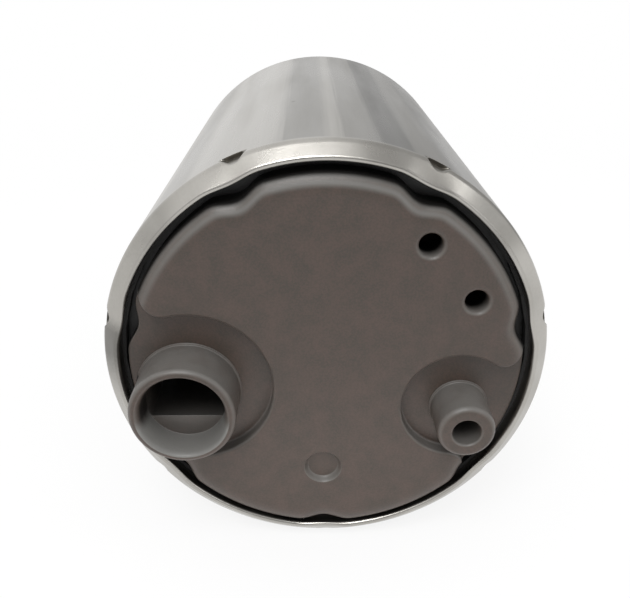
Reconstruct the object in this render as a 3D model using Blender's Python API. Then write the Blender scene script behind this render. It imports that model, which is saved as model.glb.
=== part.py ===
"""In-tank electric fuel pump: a steel can rolled over a moulded inlet cover at one end and an
outlet cap at the other, with a turbine stage and a brushed motor between them.

Units are metres. The pump's axis is Y, the inlet looks towards -Y, and the origin is the middle
of the can, where a clamp or a sleeve holds it. Angles are measured in the XZ plane from +X to +Z.
"""
import math

import bpy
import bmesh
from mathutils import Vector

# Clearances
GAP = 0.0003                  # between pieces that seat on each other
RUN = 0.0001                  # beside the shaft, the brushes and the valves, which move

# Can: drawn steel, rolled over at both ends
CAN_RADIUS = 0.0190
CAN_LENGTH = 0.0545
CAN_WALL = 0.0008
CURL_RADIUS = 0.0020          # outside radius of the rolled edge
CURL_WIDTH = 0.0013           # how far its lip stands in from the wall
CAN_MOUTH = CAN_RADIUS - CURL_WIDTH
CAN_BORE = CAN_RADIUS - CAN_WALL
FIT_RADIUS = CAN_BORE - GAP   # what slides into the can

# Facets round a turned piece
LARGE_ROUND = 36
MEDIUM_ROUND = 24
SMALL_ROUND = 16
CAN_ROUND = 56                # a multiple of the number of stakes

# Stakes: punched dents that lock the rolled edge into the cover's notches
STAKE_COUNT = 7
STAKE_PHASE = math.radians(12.4)
STAKE_HALF = math.radians(8.6)
STAKE_LIP = 0.00028           # how far the lip moves inward at a stake
STAKE_DENT = 0.00038          # depth of the punch mark on the shoulder

# Inlet cover
COVER_PROUD = 0.00046         # face above the can's lip
COVER_SLOT = 0.00075          # between the can's lip and the cover
COVER_RADIUS = CAN_MOUTH - COVER_SLOT
COVER_CROWN = (0.0014, 0.0006)   # rounding of the face towards its rim: wide, deep
NOTCH_DEPTH = 0.00085
POCKET_DEPTH = 0.00126        # floor round the spouts, below the face
COVER_FLANGE = 0.0027
POCKET_EDGE = 0.0003
SPOUT_FILLET = 0.0002

INLET_INSET = 0.0047          # spout's axis, in from the cover's rim
INLET_ANGLE = math.radians(193.36)
INLET_RADIUS = 0.00445
INLET_BORE = 0.0034
INLET_HEIGHT = 0.0045         # tip above the pocket's floor
INLET_LEDGE = 0.0026          # ledge below the tip
INLET_CHORD = 0.00145         # straight side of the port, below the spout's axis
INLET_POCKET_INSET = 0.00526
INLET_POCKET_ANGLE = math.radians(190.35)
INLET_POCKET_RADIUS = 0.00695
INLET_LOBE = 0.0019           # round corners where the pocket meets the cover's rim

NIPPLE_INSET = 0.00438
NIPPLE_ANGLE = math.radians(-21.57)
NIPPLE_RADIUS = 0.00244
NIPPLE_BORE = 0.0012
NIPPLE_HEIGHT = 0.0043
NIPPLE_POCKET_INSET = 0.0048
NIPPLE_POCKET_ANGLE = math.radians(-19.12)
NIPPLE_POCKET_RADIUS = 0.00495
NIPPLE_LOBE = 0.0015
CUTTER_REACH = 0.0050         # how far a pocket's cutter stands outside the rim

VENT_RADIUS = 0.00102
VENT_INSET = 0.00335
VENT_ANGLES = (math.radians(53.3), math.radians(26.3))
MARK_INSET = 0.00672
MARK_ANGLE = math.radians(268.6)
MARK_RADIUS = 0.0015
MARK_DEPTH = 0.00015

SEAL_THICKNESS = 0.0008
SEAL_WIDTH = 0.0007

# Turbine stage
GUIDE_WALL = 0.0033
CHANNEL_INSET = 0.0019        # channel's middle, in from the wheel's rim
CHANNEL_DEPTH = 0.0017
STRIPPER_ANGLE = math.radians(35)
IMPELLER_THICKNESS = 0.0030
IMPELLER_TIP_GAP = 0.0004
VANE_COUNT = 31
VANE_LENGTH = 0.0032
VANE_SHARE = 0.42             # part of the pitch that the vane fills
WEB_THICKNESS = 0.0008
BALANCE_HOLES = 4
BALANCE_RADIUS = 0.0010
BALANCE_CIRCLE = 0.0056
BODY_THICKNESS = 0.0042
BOSS_HEIGHT = 0.0030
BOSS_WALL = 0.0019
PORT_RADIUS = 0.0019

# Shaft and bearings
SHAFT_RADIUS = 0.0016
SHAFT_FLAT = 0.0011           # drive flat's distance from the axis
BEARING_RADIUS = 0.0030
PUMP_BEARING_LENGTH = 0.0050
CAP_BEARING_LENGTH = 0.0030
BUTTON_RADIUS = 0.0022
BUTTON_THICKNESS = 0.0012
WASHER_RADIUS = 0.0029
WASHER_THICKNESS = 0.0006
SPACER_RADIUS = 0.0034

# Motor
FLUX_WALL = 0.0015
SPLIT_RATIO = 0.6425          # armature's radius over the field's outer radius
MAGNET_HALF = math.radians(62)
CLIP_THICKNESS = 0.0005
CLIP_REACH = 0.0029
AIR_GAP = 0.0006
SLOT_COUNT = 8
SLOT_NECK = 0.0016
YOKE_WALL = 0.0033            # between the shaft's hole and the slots
TOOTH_SHARE = 0.261           # tooth's width over the armature's radius
TOOTH_TIP_SHARE = 0.113       # depth of its tip over the armature's radius
END_TURN = 0.0028
COMMUTATOR_MARGIN = 0.0003    # outside the brushes
COMMUTATOR_THICKNESS = 0.0040
COMMUTATOR_SLIT = 0.0005
SLIT_DEPTH = 0.0016

# Outlet cap
CAP_FLANGE = 0.0054
CAP_PROUD = 0.0011
CAP_SLOT = 0.00085            # between the can's lip and the cap
CAP_RADIUS = CAN_MOUTH - CAP_SLOT
CAP_EDGE = 0.0004
CAP_CHAMFER = 0.0004
CAP_SEAL_WIRE = 0.00085
BRUSH_WALL = 0.0013           # between the bearing's seat and a brush's channel
BRUSH_DEPTH = 0.0034          # along the radius
BRUSH_WIDTH = 0.0046
BRUSH_LENGTH = 0.0070
BRUSH_REACH = 0.0012          # from the cap down to the commutator
BRUSH_SPRING_LENGTH = 0.0040
BRUSH_SPRING_RADIUS = 0.0011
TOWER_WALL = 0.0011
TOWER_ROOF = 0.0010
OUTLET_SHIFT = 0.000875       # inwards from midway between the bearing and the rim
OUTLET_RADIUS = 0.0039
OUTLET_BARB = 0.0006
OUTLET_BORE = 0.0022
OUTLET_HEIGHT = 0.0145        # above the cap's face
OUTLET_BASE = 0.0054
VALVE_CHAMBER = 0.0030        # radius
VALVE_CHAMBER_LENGTH = 0.0100
SEAT_THICKNESS = 0.0018
SEAT_BORE = 0.0015
POPPET_HEAD = 0.0024
POPPET_HEAD_THICKNESS = 0.0007
POPPET_STEM = 0.0009
POPPET_STEM_LENGTH = 0.0035
POPPET_SPIGOT = 0.0006
VALVE_SEAL_THICKNESS = 0.0006
VALVE_SPRING_RADIUS = 0.0016
VALVE_SPRING_WIRE = 0.00024
RELIEF_INSET = 0.00411        # in from the cap's rim
RELIEF_ANGLE = math.radians(-42.46)
RELIEF_BORE = 0.0019
RELIEF_SEAT_BORE = 0.0007
RELIEF_SEAT_THICKNESS = 0.0010
RELIEF_BALL = 0.0012
RELIEF_SPRING_RADIUS = 0.00095
RELIEF_SPRING_LENGTH = 0.0020
RELIEF_VENT = 0.0008
RELIEF_BOSS = 0.0029
RELIEF_BOSS_HEIGHT = 0.0010
SPRING_WIRE = 0.0002
SPRING_TURNS = 4
RELIEF_SPRING_TURNS = 3
SOCKET_INSET = 0.00305        # shroud, in from the cap's rim
SOCKET_SIZE = (0.0124, 0.0058)
SOCKET_WALL = 0.0013
SOCKET_HEIGHT = 0.0080
SOCKET_FLOOR = 0.0010
LUG_SIZE = (0.0034, 0.0009, 0.0026)   # latch lug on the shroud: wide, high, long
LUG_SETBACK = 0.0016          # from the shroud's rim
LUG_TOE = 0.0001              # height of the ramp's low end
TERMINAL_OFFSET = 0.0036
TERMINAL_SIZE = (0.0008, 0.0028)
TERMINAL_RECESS = 0.0014      # tip below the socket's rim
TERMINAL_TAIL = 0.0012        # below the cap
CHOKE_WALL = 0.0005           # between the pocket and the seal's groove
CHOKE_ANGLE = math.radians(36)
CHOKE_POCKET_DEPTH = 0.0055
CHOKE_TAIL = 0.0008           # below the cap
CHOKE_CORE = 0.0011
CHOKE_COIL = 0.0017
CHOKE_WIRE = 0.0003
CHOKE_TURNS = 6

# Places along the axis, from the inlet end
LIP_Y = -CAN_LENGTH / 2
FACE_Y = LIP_Y - COVER_PROUD
FLOOR_Y = FACE_Y + POCKET_DEPTH
SEAL_Y = LIP_Y + CAN_WALL + 2 * GAP
FLANGE_Y = SEAL_Y + SEAL_THICKNESS + GAP
COVER_BACK_Y = FLANGE_Y + COVER_FLANGE
WHEEL_Y = COVER_BACK_Y + GAP
WHEEL_BACK_Y = WHEEL_Y + IMPELLER_THICKNESS
BODY_Y = WHEEL_BACK_Y + GAP
BODY_BACK_Y = BODY_Y + BODY_THICKNESS
BOSS_Y = BODY_BACK_Y + BOSS_HEIGHT
LOWER_WASHER_Y = BOSS_Y + GAP
LOWER_SPACER_Y = LOWER_WASHER_Y + WASHER_THICKNESS + GAP
CORE_Y = LOWER_SPACER_Y + END_TURN + GAP
SHAFT_Y = COVER_BACK_Y - 2 * GAP
BUTTON_Y = SHAFT_Y - GAP - BUTTON_THICKNESS

# Places along the axis, from the outlet end
FAR_LIP_Y = CAN_LENGTH / 2
SHOULDER_Y = FAR_LIP_Y - CAN_WALL - GAP
CAP_Y = SHOULDER_Y - CAP_FLANGE
CAP_FACE_Y = FAR_LIP_Y + CAP_PROUD
COMMUTATOR_TOP_Y = CAP_Y - BRUSH_REACH
COMMUTATOR_Y = COMMUTATOR_TOP_Y - COMMUTATOR_THICKNESS
CORE_TOP_Y = COMMUTATOR_Y - END_TURN - 3 * GAP
UPPER_WASHER_Y = COMMUTATOR_TOP_Y + GAP
CAP_BEARING_Y = CAP_Y + GAP
SHAFT_TOP_Y = CAP_BEARING_Y + CAP_BEARING_LENGTH + GAP
BRUSH_Y = COMMUTATOR_TOP_Y + GAP
BRUSH_SPRING_Y = BRUSH_Y + BRUSH_LENGTH + GAP
BRUSH_ROOF_Y = BRUSH_SPRING_Y + BRUSH_SPRING_LENGTH + GAP
TOWER_Y = BRUSH_ROOF_Y + TOWER_ROOF
SEAT_Y = CAP_Y + GAP
POPPET_Y = SEAT_Y + SEAT_THICKNESS + GAP
POPPET_HEAD_Y = POPPET_Y + VALVE_SEAL_THICKNESS + GAP
VALVE_SPRING_Y = POPPET_HEAD_Y + POPPET_HEAD_THICKNESS + GAP
VALVE_CHAMBER_Y = CAP_Y + VALVE_CHAMBER_LENGTH
RELIEF_SEAT_Y = CAP_Y + GAP
BALL_REST = math.sqrt(RELIEF_BALL ** 2 - RELIEF_SEAT_BORE ** 2)
BALL_Y = RELIEF_SEAT_Y + RELIEF_SEAT_THICKNESS + BALL_REST + GAP
RELIEF_SPRING_Y = BALL_Y + RELIEF_BALL + GAP
RELIEF_ROOF_Y = RELIEF_SPRING_Y + RELIEF_SPRING_LENGTH + GAP
SOCKET_Y = CAP_FACE_Y + SOCKET_FLOOR
SOCKET_RIM_Y = CAP_FACE_Y + SOCKET_HEIGHT

# Radii that follow from the fits
IMPELLER_RADIUS = FIT_RADIUS - GUIDE_WALL - IMPELLER_TIP_GAP
CHANNEL_CIRCLE = IMPELLER_RADIUS - CHANNEL_INSET
FLUX_BORE = FIT_RADIUS - FLUX_WALL
MAGNET_RADIUS = FLUX_BORE - GAP
CORE_RADIUS = SPLIT_RATIO * FIT_RADIUS
MAGNET_BORE = CORE_RADIUS + AIR_GAP
SHAFT_HOLE = SHAFT_RADIUS + GAP
SLOT_OUTER = CORE_RADIUS * (1 - TOOTH_TIP_SHARE)
SLOT_INNER = SHAFT_HOLE + YOKE_WALL
TOOTH_WIDTH = TOOTH_SHARE * CORE_RADIUS
BEARING_SEAT = BEARING_RADIUS + GAP
BRUSH_OFFSET = BEARING_SEAT + BRUSH_WALL + RUN + BRUSH_DEPTH / 2
COMMUTATOR_RADIUS = BRUSH_OFFSET + BRUSH_DEPTH / 2 + COMMUTATOR_MARGIN
SEAL_GROOVE = FIT_RADIUS - 2 * CAP_SEAL_WIRE - GAP
CHOKE_POCKET = CHOKE_COIL + CHOKE_WIRE + GAP
CHOKE_CIRCLE = SEAL_GROOVE - CHOKE_WALL - CHOKE_POCKET


def on_circle(radius, angle):
    """The (x, z) place at this radius and angle."""
    return (radius * math.cos(angle), radius * math.sin(angle))


# Places on the cover and on the cap
INLET_AT = on_circle(COVER_RADIUS - INLET_INSET, INLET_ANGLE)
INLET_POCKET_AT = on_circle(COVER_RADIUS - INLET_POCKET_INSET, INLET_POCKET_ANGLE)
NIPPLE_AT = on_circle(COVER_RADIUS - NIPPLE_INSET, NIPPLE_ANGLE)
NIPPLE_POCKET_AT = on_circle(COVER_RADIUS - NIPPLE_POCKET_INSET, NIPPLE_POCKET_ANGLE)
MARK_AT = on_circle(COVER_RADIUS - MARK_INSET, MARK_ANGLE)
OUTLET_AT = (0.0, OUTLET_SHIFT - (BEARING_SEAT + CAP_RADIUS) / 2)
SOCKET_AT = (0.0, CAP_RADIUS - SOCKET_INSET - SOCKET_WALL - SOCKET_SIZE[1] / 2)
RELIEF_AT = on_circle(CAP_RADIUS - RELIEF_INSET, RELIEF_ANGLE)
CHOKE_AT = on_circle(CHOKE_CIRCLE, CHOKE_ANGLE)


def clear_scene():
    """Removes every object that is in the scene."""
    for obj in list(bpy.data.objects):
        bpy.data.objects.remove(obj, do_unlink=True)


def finish(name, colour, roughness, metallic=0.0):
    """A plain Principled material."""
    mat = bpy.data.materials.new(name)
    mat.use_nodes = True
    shader = mat.node_tree.nodes["Principled BSDF"]
    shader.inputs["Base Color"].default_value = (*colour, 1.0)
    shader.inputs["Roughness"].default_value = roughness
    shader.inputs["Metallic"].default_value = metallic
    return mat


def solid(name, rings, mat, closed=False, at=(0.0, 0.0)):
    """A closed body through rings of points; each ring has as many points as the next.

    An open row of rings gets a flat cap at each end, and a closed one joins its last ring to
    its first. The object's origin is on its own axis, at x, z = at.
    """
    mesh = bpy.data.meshes.new(name)
    bm = bmesh.new()
    loops = [[bm.verts.new(point) for point in ring] for ring in rings]
    pairs = list(zip(loops, loops[1:]))
    if closed:
        pairs.append((loops[-1], loops[0]))
    else:
        bm.faces.new(loops[0])
        bm.faces.new(list(reversed(loops[-1])))
    for low, high in pairs:
        for i, vert in enumerate(low):
            j = (i + 1) % len(low)
            bm.faces.new((vert, low[j], high[j], high[i]))
    bmesh.ops.recalc_face_normals(bm, faces=bm.faces)
    bm.to_mesh(mesh)
    bm.free()
    mesh.shade_smooth()
    mesh.set_sharp_from_angle(angle=math.radians(35))
    obj = bpy.data.objects.new(name, mesh)
    obj.location = (at[0], 0.0, at[1])
    obj.data.materials.append(mat)
    bpy.context.scene.collection.objects.link(obj)
    return obj


def polar(radius, angle, y):
    """The point at this radius and angle round the Y axis."""
    return Vector((radius * math.cos(angle), y, radius * math.sin(angle)))


def arc(centre, radius, start, end, steps):
    """Section points (r, y) on an arc, its angles in degrees from +r towards +y."""
    points = []
    for i in range(steps + 1):
        angle = math.radians(start + (end - start) * i / steps)
        points.append((centre[0] + radius * math.cos(angle), centre[1] + radius * math.sin(angle)))
    return points


def turned(name, profile, mat, segments=SMALL_ROUND, at=(0.0, 0.0)):
    """A body turned about Y from a profile of (r, y) points, flat across its two ends."""
    turns = [2 * math.pi * i / segments for i in range(segments)]
    rings = [[polar(r, angle, y) for angle in turns] for r, y in profile]
    return solid(name, rings, mat, at=at)


def ringed(name, section, mat, segments=SMALL_ROUND, at=(0.0, 0.0)):
    """A ring about Y, from a closed section of (r, y) points."""
    turns = [2 * math.pi * i / segments for i in range(segments)]
    rings = [[polar(r, angle, y) for r, y in section] for angle in turns]
    return solid(name, rings, mat, closed=True, at=at)


def sector(name, section, start, end, steps, mat):
    """Part of a ring about Y, between two angles."""
    turns = [start + (end - start) * i / steps for i in range(steps + 1)]
    return solid(name, [[polar(r, angle, y) for r, y in section] for angle in turns], mat)


def prism(name, outline, low, high, mat, at=(0.0, 0.0)):
    """A body with an (x, z) outline, from y = low to y = high."""
    rings = [[Vector((x, y, z)) for x, z in outline] for y in (low, high)]
    return solid(name, rings, mat, at=at)


def rectangle(inner, outer, low, high):
    """The section of a plain ring."""
    return [(inner, low), (outer, low), (outer, high), (inner, high)]


def rounded_box(width, height, radius, steps=3):
    """An (x, z) rectangle with round corners."""
    points = []
    for quarter in range(4):
        middle = math.radians(45 + 90 * quarter)
        x = math.copysign(width / 2 - radius, math.cos(middle))
        z = math.copysign(height / 2 - radius, math.sin(middle))
        for i in range(steps + 1):
            angle = math.radians(90 * (quarter + i / steps))
            points.append((x + radius * math.cos(angle), z + radius * math.sin(angle)))
    return points


def coil(name, radius, wire, turns, low, high, mat, at=(0.0, 0.0), steps=8, sides=4):
    """A round wire wound about Y, with its ends inside y = low to y = high."""
    count = turns * steps
    rings = []
    for i in range(count + 1):
        angle = 2 * math.pi * i / steps
        y = low + wire + (high - low - 2 * wire) * i / count
        ring = []
        for k in range(sides):
            turn = 2 * math.pi * k / sides
            ring.append(polar(radius + wire * math.cos(turn), angle, y + wire * math.sin(turn)))
        rings.append(ring)
    return solid(name, rings, mat, at=at)


def combine(target, tool, operation):
    """Adds a Boolean; the tool stays as a wire guide."""
    tool.hide_render = True
    tool.display_type = "WIRE"
    modifier = target.modifiers.new(tool.name, "BOOLEAN")
    modifier.operation = operation
    modifier.object = tool
    modifier.solver = "EXACT"


def cut(target, tool):
    combine(target, tool, "DIFFERENCE")


def join(target, tool):
    combine(target, tool, "UNION")


def stake_weight(angle):
    """1 in the middle of a stake, falling smoothly to 0 at its sides."""
    pitch = 2 * math.pi / STAKE_COUNT
    away = (angle - STAKE_PHASE + pitch / 2) % pitch - pitch / 2
    if abs(away) >= STAKE_HALF:
        return 0.0
    return 0.5 + 0.5 * math.cos(math.pi * away / STAKE_HALF)


def make_can(mat):
    """The can: its wall bends inward at both ends, and is moved in and dented at each stake."""
    inner = CURL_RADIUS - CAN_WALL
    middle = CAN_RADIUS - CURL_RADIUS
    bend = math.acos((CAN_MOUTH - middle) / CURL_RADIUS)
    rise = CURL_RADIUS * math.sin(bend)
    near = (middle, LIP_Y + rise)
    far = (middle, FAR_LIP_Y - rise)
    end = math.degrees(bend)
    shoulder = arc(near, CURL_RADIUS, 360 - end, 360, 4)
    section = shoulder + arc(far, CURL_RADIUS, 0, end, 2)
    section += arc(far, inner, end, 0, 2) + arc(near, inner, 360, 360 - end, 2)
    lip_low = len(shoulder) // 2
    rings = []
    for i in range(CAN_ROUND):
        angle = STAKE_PHASE + 2 * math.pi * i / CAN_ROUND
        weight = stake_weight(angle)
        ring = []
        for k, (r, y) in enumerate(section):
            if k == lip_low or k == lip_low + 1:
                r -= STAKE_DENT * max(0.0, 2 * weight - 1)
            if k == 0 or k == len(section) - 1:
                r -= STAKE_LIP * weight
            ring.append(polar(r, angle, y))
        rings.append(ring)
    return solid("case_shell", rings, mat, closed=True)


def cover_angles():
    """Angles round the cover: close together in the notches, wide apart between them."""
    pitch = 2 * math.pi / STAKE_COUNT
    offsets = [STAKE_HALF * share for share in (-1, -0.65, -0.35, 0, 0.35, 0.65, 1)]
    plain = (pitch - 2 * STAKE_HALF) / 4
    offsets += [STAKE_HALF + plain * i for i in range(1, 4)]
    return [STAKE_PHASE + pitch * k + offset for k in range(STAKE_COUNT) for offset in offsets]


def cover_ring(radius, y, depth, angles):
    """One ring of the cover's outline, notched by this depth at each stake."""
    return [polar(radius - depth * stake_weight(angle), angle, y) for angle in angles]


def sweep(centre, radius, start, turn, steps):
    """(x, z) points on an arc, from an angle and through a turn in radians."""
    points = []
    for i in range(steps + 1):
        x, z = on_circle(radius, start + turn * i / steps)
        points.append((centre[0] + x, centre[1] + z))
    return points


def short_turn(start, end):
    """The turn from one direction to another, the short way round."""
    return (end - start + math.pi) % (2 * math.pi) - math.pi


def lobe_centre(at, radius, lobe, side):
    """Centre of the round corner that touches both a pocket's circle and the cover's rim."""
    reach = COVER_RADIUS - lobe
    distance = math.hypot(*at)
    along = (reach ** 2 - (radius + lobe) ** 2 + distance ** 2) / (2 * distance)
    across = side * math.sqrt(reach ** 2 - along ** 2)
    return ((at[0] * along - at[1] * across) / distance, (at[1] * along + at[0] * across) / distance)


def pocket_outline(at, radius, lobe, grow):
    """A pocket that opens through the cover's rim between two round corners, grown by an offset."""
    toward = math.atan2(at[1], at[0])
    corners = [lobe_centre(at, radius, lobe, side) for side in (-1, 1)]
    rim = [math.atan2(z, x) for x, z in corners]
    wall = [math.atan2(z - at[1], x - at[0]) for x, z in corners]
    outside = COVER_RADIUS + CUTTER_REACH
    points = [on_circle(outside, rim[0])]
    turn = short_turn(rim[0], wall[0] + math.pi)
    points += sweep(corners[0], lobe - grow, rim[0], turn, 3)
    inward = toward + math.pi
    turn = short_turn(wall[0], inward) + short_turn(inward, wall[1])
    points += sweep(at, radius + grow, wall[0], turn, MEDIUM_ROUND)
    turn = short_turn(wall[1] + math.pi, rim[1])
    points += sweep(corners[1], lobe - grow, wall[1] + math.pi, turn, 3)
    points += [on_circle(outside, rim[1]), on_circle(outside, toward)]
    return points


def pocket_tool(name, at, radius, lobe, mat):
    """Cuts a pocket with a chamfered foot and a rounded edge."""
    edge = POCKET_EDGE
    profile = [(-edge, FLOOR_Y), (0.0, FLOOR_Y - edge)]
    profile += arc((edge, FACE_Y + edge), edge, 180, 270, 2)
    profile.append((edge, FACE_Y - edge))
    rings = []
    for grow, y in profile:
        outline = pocket_outline(at, radius, lobe, grow)
        rings.append([Vector((x, y, z)) for x, z in outline])
    return solid(name, rings, mat)


def spout_tool(name, radius, height, edge, at, mat):
    """A spout standing on its pocket's floor, with a fillet at its foot and a round rim."""
    tip = FLOOR_Y - height
    foot = (radius + SPOUT_FILLET, FLOOR_Y - SPOUT_FILLET)
    profile = [(radius + SPOUT_FILLET, FLANGE_Y), (radius + SPOUT_FILLET, FLOOR_Y)]
    profile += arc(foot, SPOUT_FILLET, 150, 180, 1)
    profile += arc((radius - edge, tip + edge), edge, 0, -90, 3)
    return turned(name, profile, mat, MEDIUM_ROUND, at=at)


def d_outline(radius, chord, steps=16):
    """A circle whose lower side is cut straight at z = -chord."""
    start = math.asin(-chord / radius)
    end = math.pi - start
    return [(radius * math.cos(start + (end - start) * i / steps),
             radius * math.sin(start + (end - start) * i / steps)) for i in range(steps + 1)]


def channel_tool(name, y, mat):
    """Cuts a half-round channel that stops at the stripper between outlet and inlet."""
    section = arc((CHANNEL_CIRCLE, y), CHANNEL_DEPTH, 0, 360, 8)[:-1]
    start = INLET_ANGLE + STRIPPER_ANGLE
    return sector(name, section, start, INLET_ANGLE + 2 * math.pi, MEDIUM_ROUND, mat)


def make_cover(mat):
    """The moulded inlet cover, with two pockets, their spouts, two vents and a round recess."""
    angles = cover_angles()
    wide, deep = COVER_CROWN
    rings = []
    for out, along in arc((0.0, 0.0), 1.0, 270, 360, 3):
        r = COVER_RADIUS - wide * (1 - out)
        rings.append(cover_ring(r, FACE_Y + deep * (1 + along), NOTCH_DEPTH, angles))
    rings.append(cover_ring(COVER_RADIUS, FLANGE_Y, NOTCH_DEPTH, angles))
    rings.append(cover_ring(FIT_RADIUS, FLANGE_Y, 0.0, angles))
    rings.append(cover_ring(FIT_RADIUS, COVER_BACK_Y, 0.0, angles))
    cover = solid("inlet_cover", rings, mat)

    cut(cover, pocket_tool("inlet_pocket", INLET_POCKET_AT, INLET_POCKET_RADIUS, INLET_LOBE, mat))
    cut(cover, pocket_tool("nipple_pocket", NIPPLE_POCKET_AT, NIPPLE_POCKET_RADIUS, NIPPLE_LOBE, mat))
    rim = (INLET_RADIUS - INLET_BORE) / 2
    join(cover, spout_tool("inlet_spout", INLET_RADIUS, INLET_HEIGHT, rim, INLET_AT, mat))
    rim = (NIPPLE_RADIUS - NIPPLE_BORE) / 4
    join(cover, spout_tool("nipple_spout", NIPPLE_RADIUS, NIPPLE_HEIGHT, rim, NIPPLE_AT, mat))

    tip = FLOOR_Y - INLET_HEIGHT
    rim = (INLET_RADIUS - INLET_BORE) / 2
    mouth = arc((INLET_BORE + rim, tip + rim), rim, 270, 180, 3)
    profile = [(INLET_BORE + rim, tip - rim)] + mouth + [(INLET_BORE, tip + INLET_LEDGE)]
    cut(cover, turned("inlet_bore", profile, mat, MEDIUM_ROUND, at=INLET_AT))
    port = d_outline(INLET_BORE, INLET_CHORD)
    cut(cover, prism("inlet_port", port, tip + rim, COVER_BACK_Y + GAP, mat, at=INLET_AT))
    profile = [(NIPPLE_BORE, FLOOR_Y - 2 * NIPPLE_HEIGHT), (NIPPLE_BORE, COVER_BACK_Y + GAP)]
    cut(cover, turned("nipple_bore", profile, mat, at=NIPPLE_AT))
    for i, angle in enumerate(VENT_ANGLES):
        place = on_circle(COVER_RADIUS - VENT_INSET, angle)
        profile = [(VENT_RADIUS, FACE_Y - GAP), (VENT_RADIUS, COVER_BACK_Y + GAP)]
        cut(cover, turned("vent_%d" % (i + 1), profile, mat, at=place))
    profile = [(MARK_RADIUS, FACE_Y - GAP), (MARK_RADIUS, FACE_Y + MARK_DEPTH)]
    cut(cover, turned("mark_recess", profile, mat, at=MARK_AT))
    cut(cover, channel_tool("cover_channel", COVER_BACK_Y, mat))
    profile = [(BUTTON_RADIUS + GAP, BUTTON_Y - GAP), (BUTTON_RADIUS + GAP, COVER_BACK_Y + GAP)]
    cut(cover, turned("button_pocket", profile, mat))


def make_seal(mat):
    """The rubber washer that the rolled edge presses on the cover's flange."""
    section = rectangle(FIT_RADIUS - SEAL_WIDTH, FIT_RADIUS, SEAL_Y, SEAL_Y + SEAL_THICKNESS)
    ringed("cover_seal", section, mat, LARGE_ROUND)


def make_impeller(mat):
    """The turbine wheel: straight vanes on both faces of a thin web."""
    pitch = 2 * math.pi / VANE_COUNT
    root = IMPELLER_RADIUS - VANE_LENGTH
    outline = []
    for i in range(VANE_COUNT):
        sides = (pitch * (i - VANE_SHARE / 2), pitch * (i + VANE_SHARE / 2))
        outline += [on_circle(root, sides[0]), on_circle(IMPELLER_RADIUS, sides[0])]
        outline += [on_circle(IMPELLER_RADIUS, sides[1]), on_circle(root, sides[1])]
    wheel = prism("impeller", outline, WHEEL_Y, WHEEL_BACK_Y, mat)
    centre = (WHEEL_Y + WHEEL_BACK_Y) / 2
    rim = IMPELLER_RADIUS - GAP
    profile = [(rim, centre - WEB_THICKNESS / 2), (rim, centre + WEB_THICKNESS / 2)]
    join(wheel, turned("impeller_web", profile, mat, VANE_COUNT))
    ends = (WHEEL_Y - GAP, WHEEL_BACK_Y + GAP)
    bore = d_outline(SHAFT_HOLE, SHAFT_FLAT + GAP, steps=18)
    cut(wheel, prism("impeller_bore", bore, *ends, mat))
    for i in range(BALANCE_HOLES):
        place = on_circle(BALANCE_CIRCLE, 2 * math.pi * (i + 0.5) / BALANCE_HOLES)
        profile = [(BALANCE_RADIUS, y) for y in ends]
        cut(wheel, turned("balance_hole_%d" % (i + 1), profile, mat, at=place))
    return wheel


def make_pump_body(mat):
    """The plate above the wheel, with its channel, its outlet port and the bearing's boss."""
    boss = BEARING_SEAT + BOSS_WALL
    foot = BOSS_WALL / 3
    section = [(BEARING_SEAT, BODY_Y), (FIT_RADIUS, BODY_Y), (FIT_RADIUS, BODY_BACK_Y)]
    section += [(boss + foot, BODY_BACK_Y), (boss, BODY_BACK_Y + foot), (boss, BOSS_Y)]
    section += [(BEARING_SEAT, BOSS_Y)]
    body = ringed("pump_body", section, mat, LARGE_ROUND)
    cut(body, channel_tool("body_channel", BODY_Y, mat))
    place = on_circle(CHANNEL_CIRCLE, INLET_ANGLE + STRIPPER_ANGLE)
    profile = [(PORT_RADIUS, BODY_Y - GAP), (PORT_RADIUS, BODY_BACK_Y + GAP)]
    cut(body, turned("outlet_port", profile, mat, at=place))


def make_guide_ring(mat):
    """The ring that spaces cover and body apart and closes the wheel's rim."""
    section = rectangle(IMPELLER_RADIUS + IMPELLER_TIP_GAP, FIT_RADIUS, WHEEL_Y, WHEEL_BACK_Y)
    ringed("guide_ring", section, mat, LARGE_ROUND)


def make_bearings(bronze, ceramic):
    """Two sintered bushes, and the button that takes the shaft's end thrust."""
    bore = SHAFT_RADIUS + RUN
    low = BOSS_Y - PUMP_BEARING_LENGTH
    ringed("pump_bearing", rectangle(bore, BEARING_RADIUS, low, BOSS_Y), bronze)
    high = CAP_BEARING_Y + CAP_BEARING_LENGTH
    ringed("cap_bearing", rectangle(bore, BEARING_RADIUS, CAP_BEARING_Y, high), bronze)
    profile = [(BUTTON_RADIUS, BUTTON_Y), (BUTTON_RADIUS, BUTTON_Y + BUTTON_THICKNESS)]
    turned("thrust_button", profile, ceramic)


def make_shaft(mat):
    """The shaft, with a flat that drives the wheel."""
    edge = SHAFT_RADIUS / 8
    profile = [(SHAFT_RADIUS - edge, SHAFT_Y), (SHAFT_RADIUS, SHAFT_Y + edge)]
    profile += [(SHAFT_RADIUS, SHAFT_TOP_Y - edge), (SHAFT_RADIUS - edge, SHAFT_TOP_Y)]
    shaft = turned("rotor_shaft", profile, mat)
    far = 2 * SHAFT_RADIUS
    outline = [(-far, -far), (far, -far), (far, -SHAFT_FLAT), (-far, -SHAFT_FLAT)]
    cut(shaft, prism("drive_flat", outline, SHAFT_Y - GAP, BODY_Y, mat))
    return shaft


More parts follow.
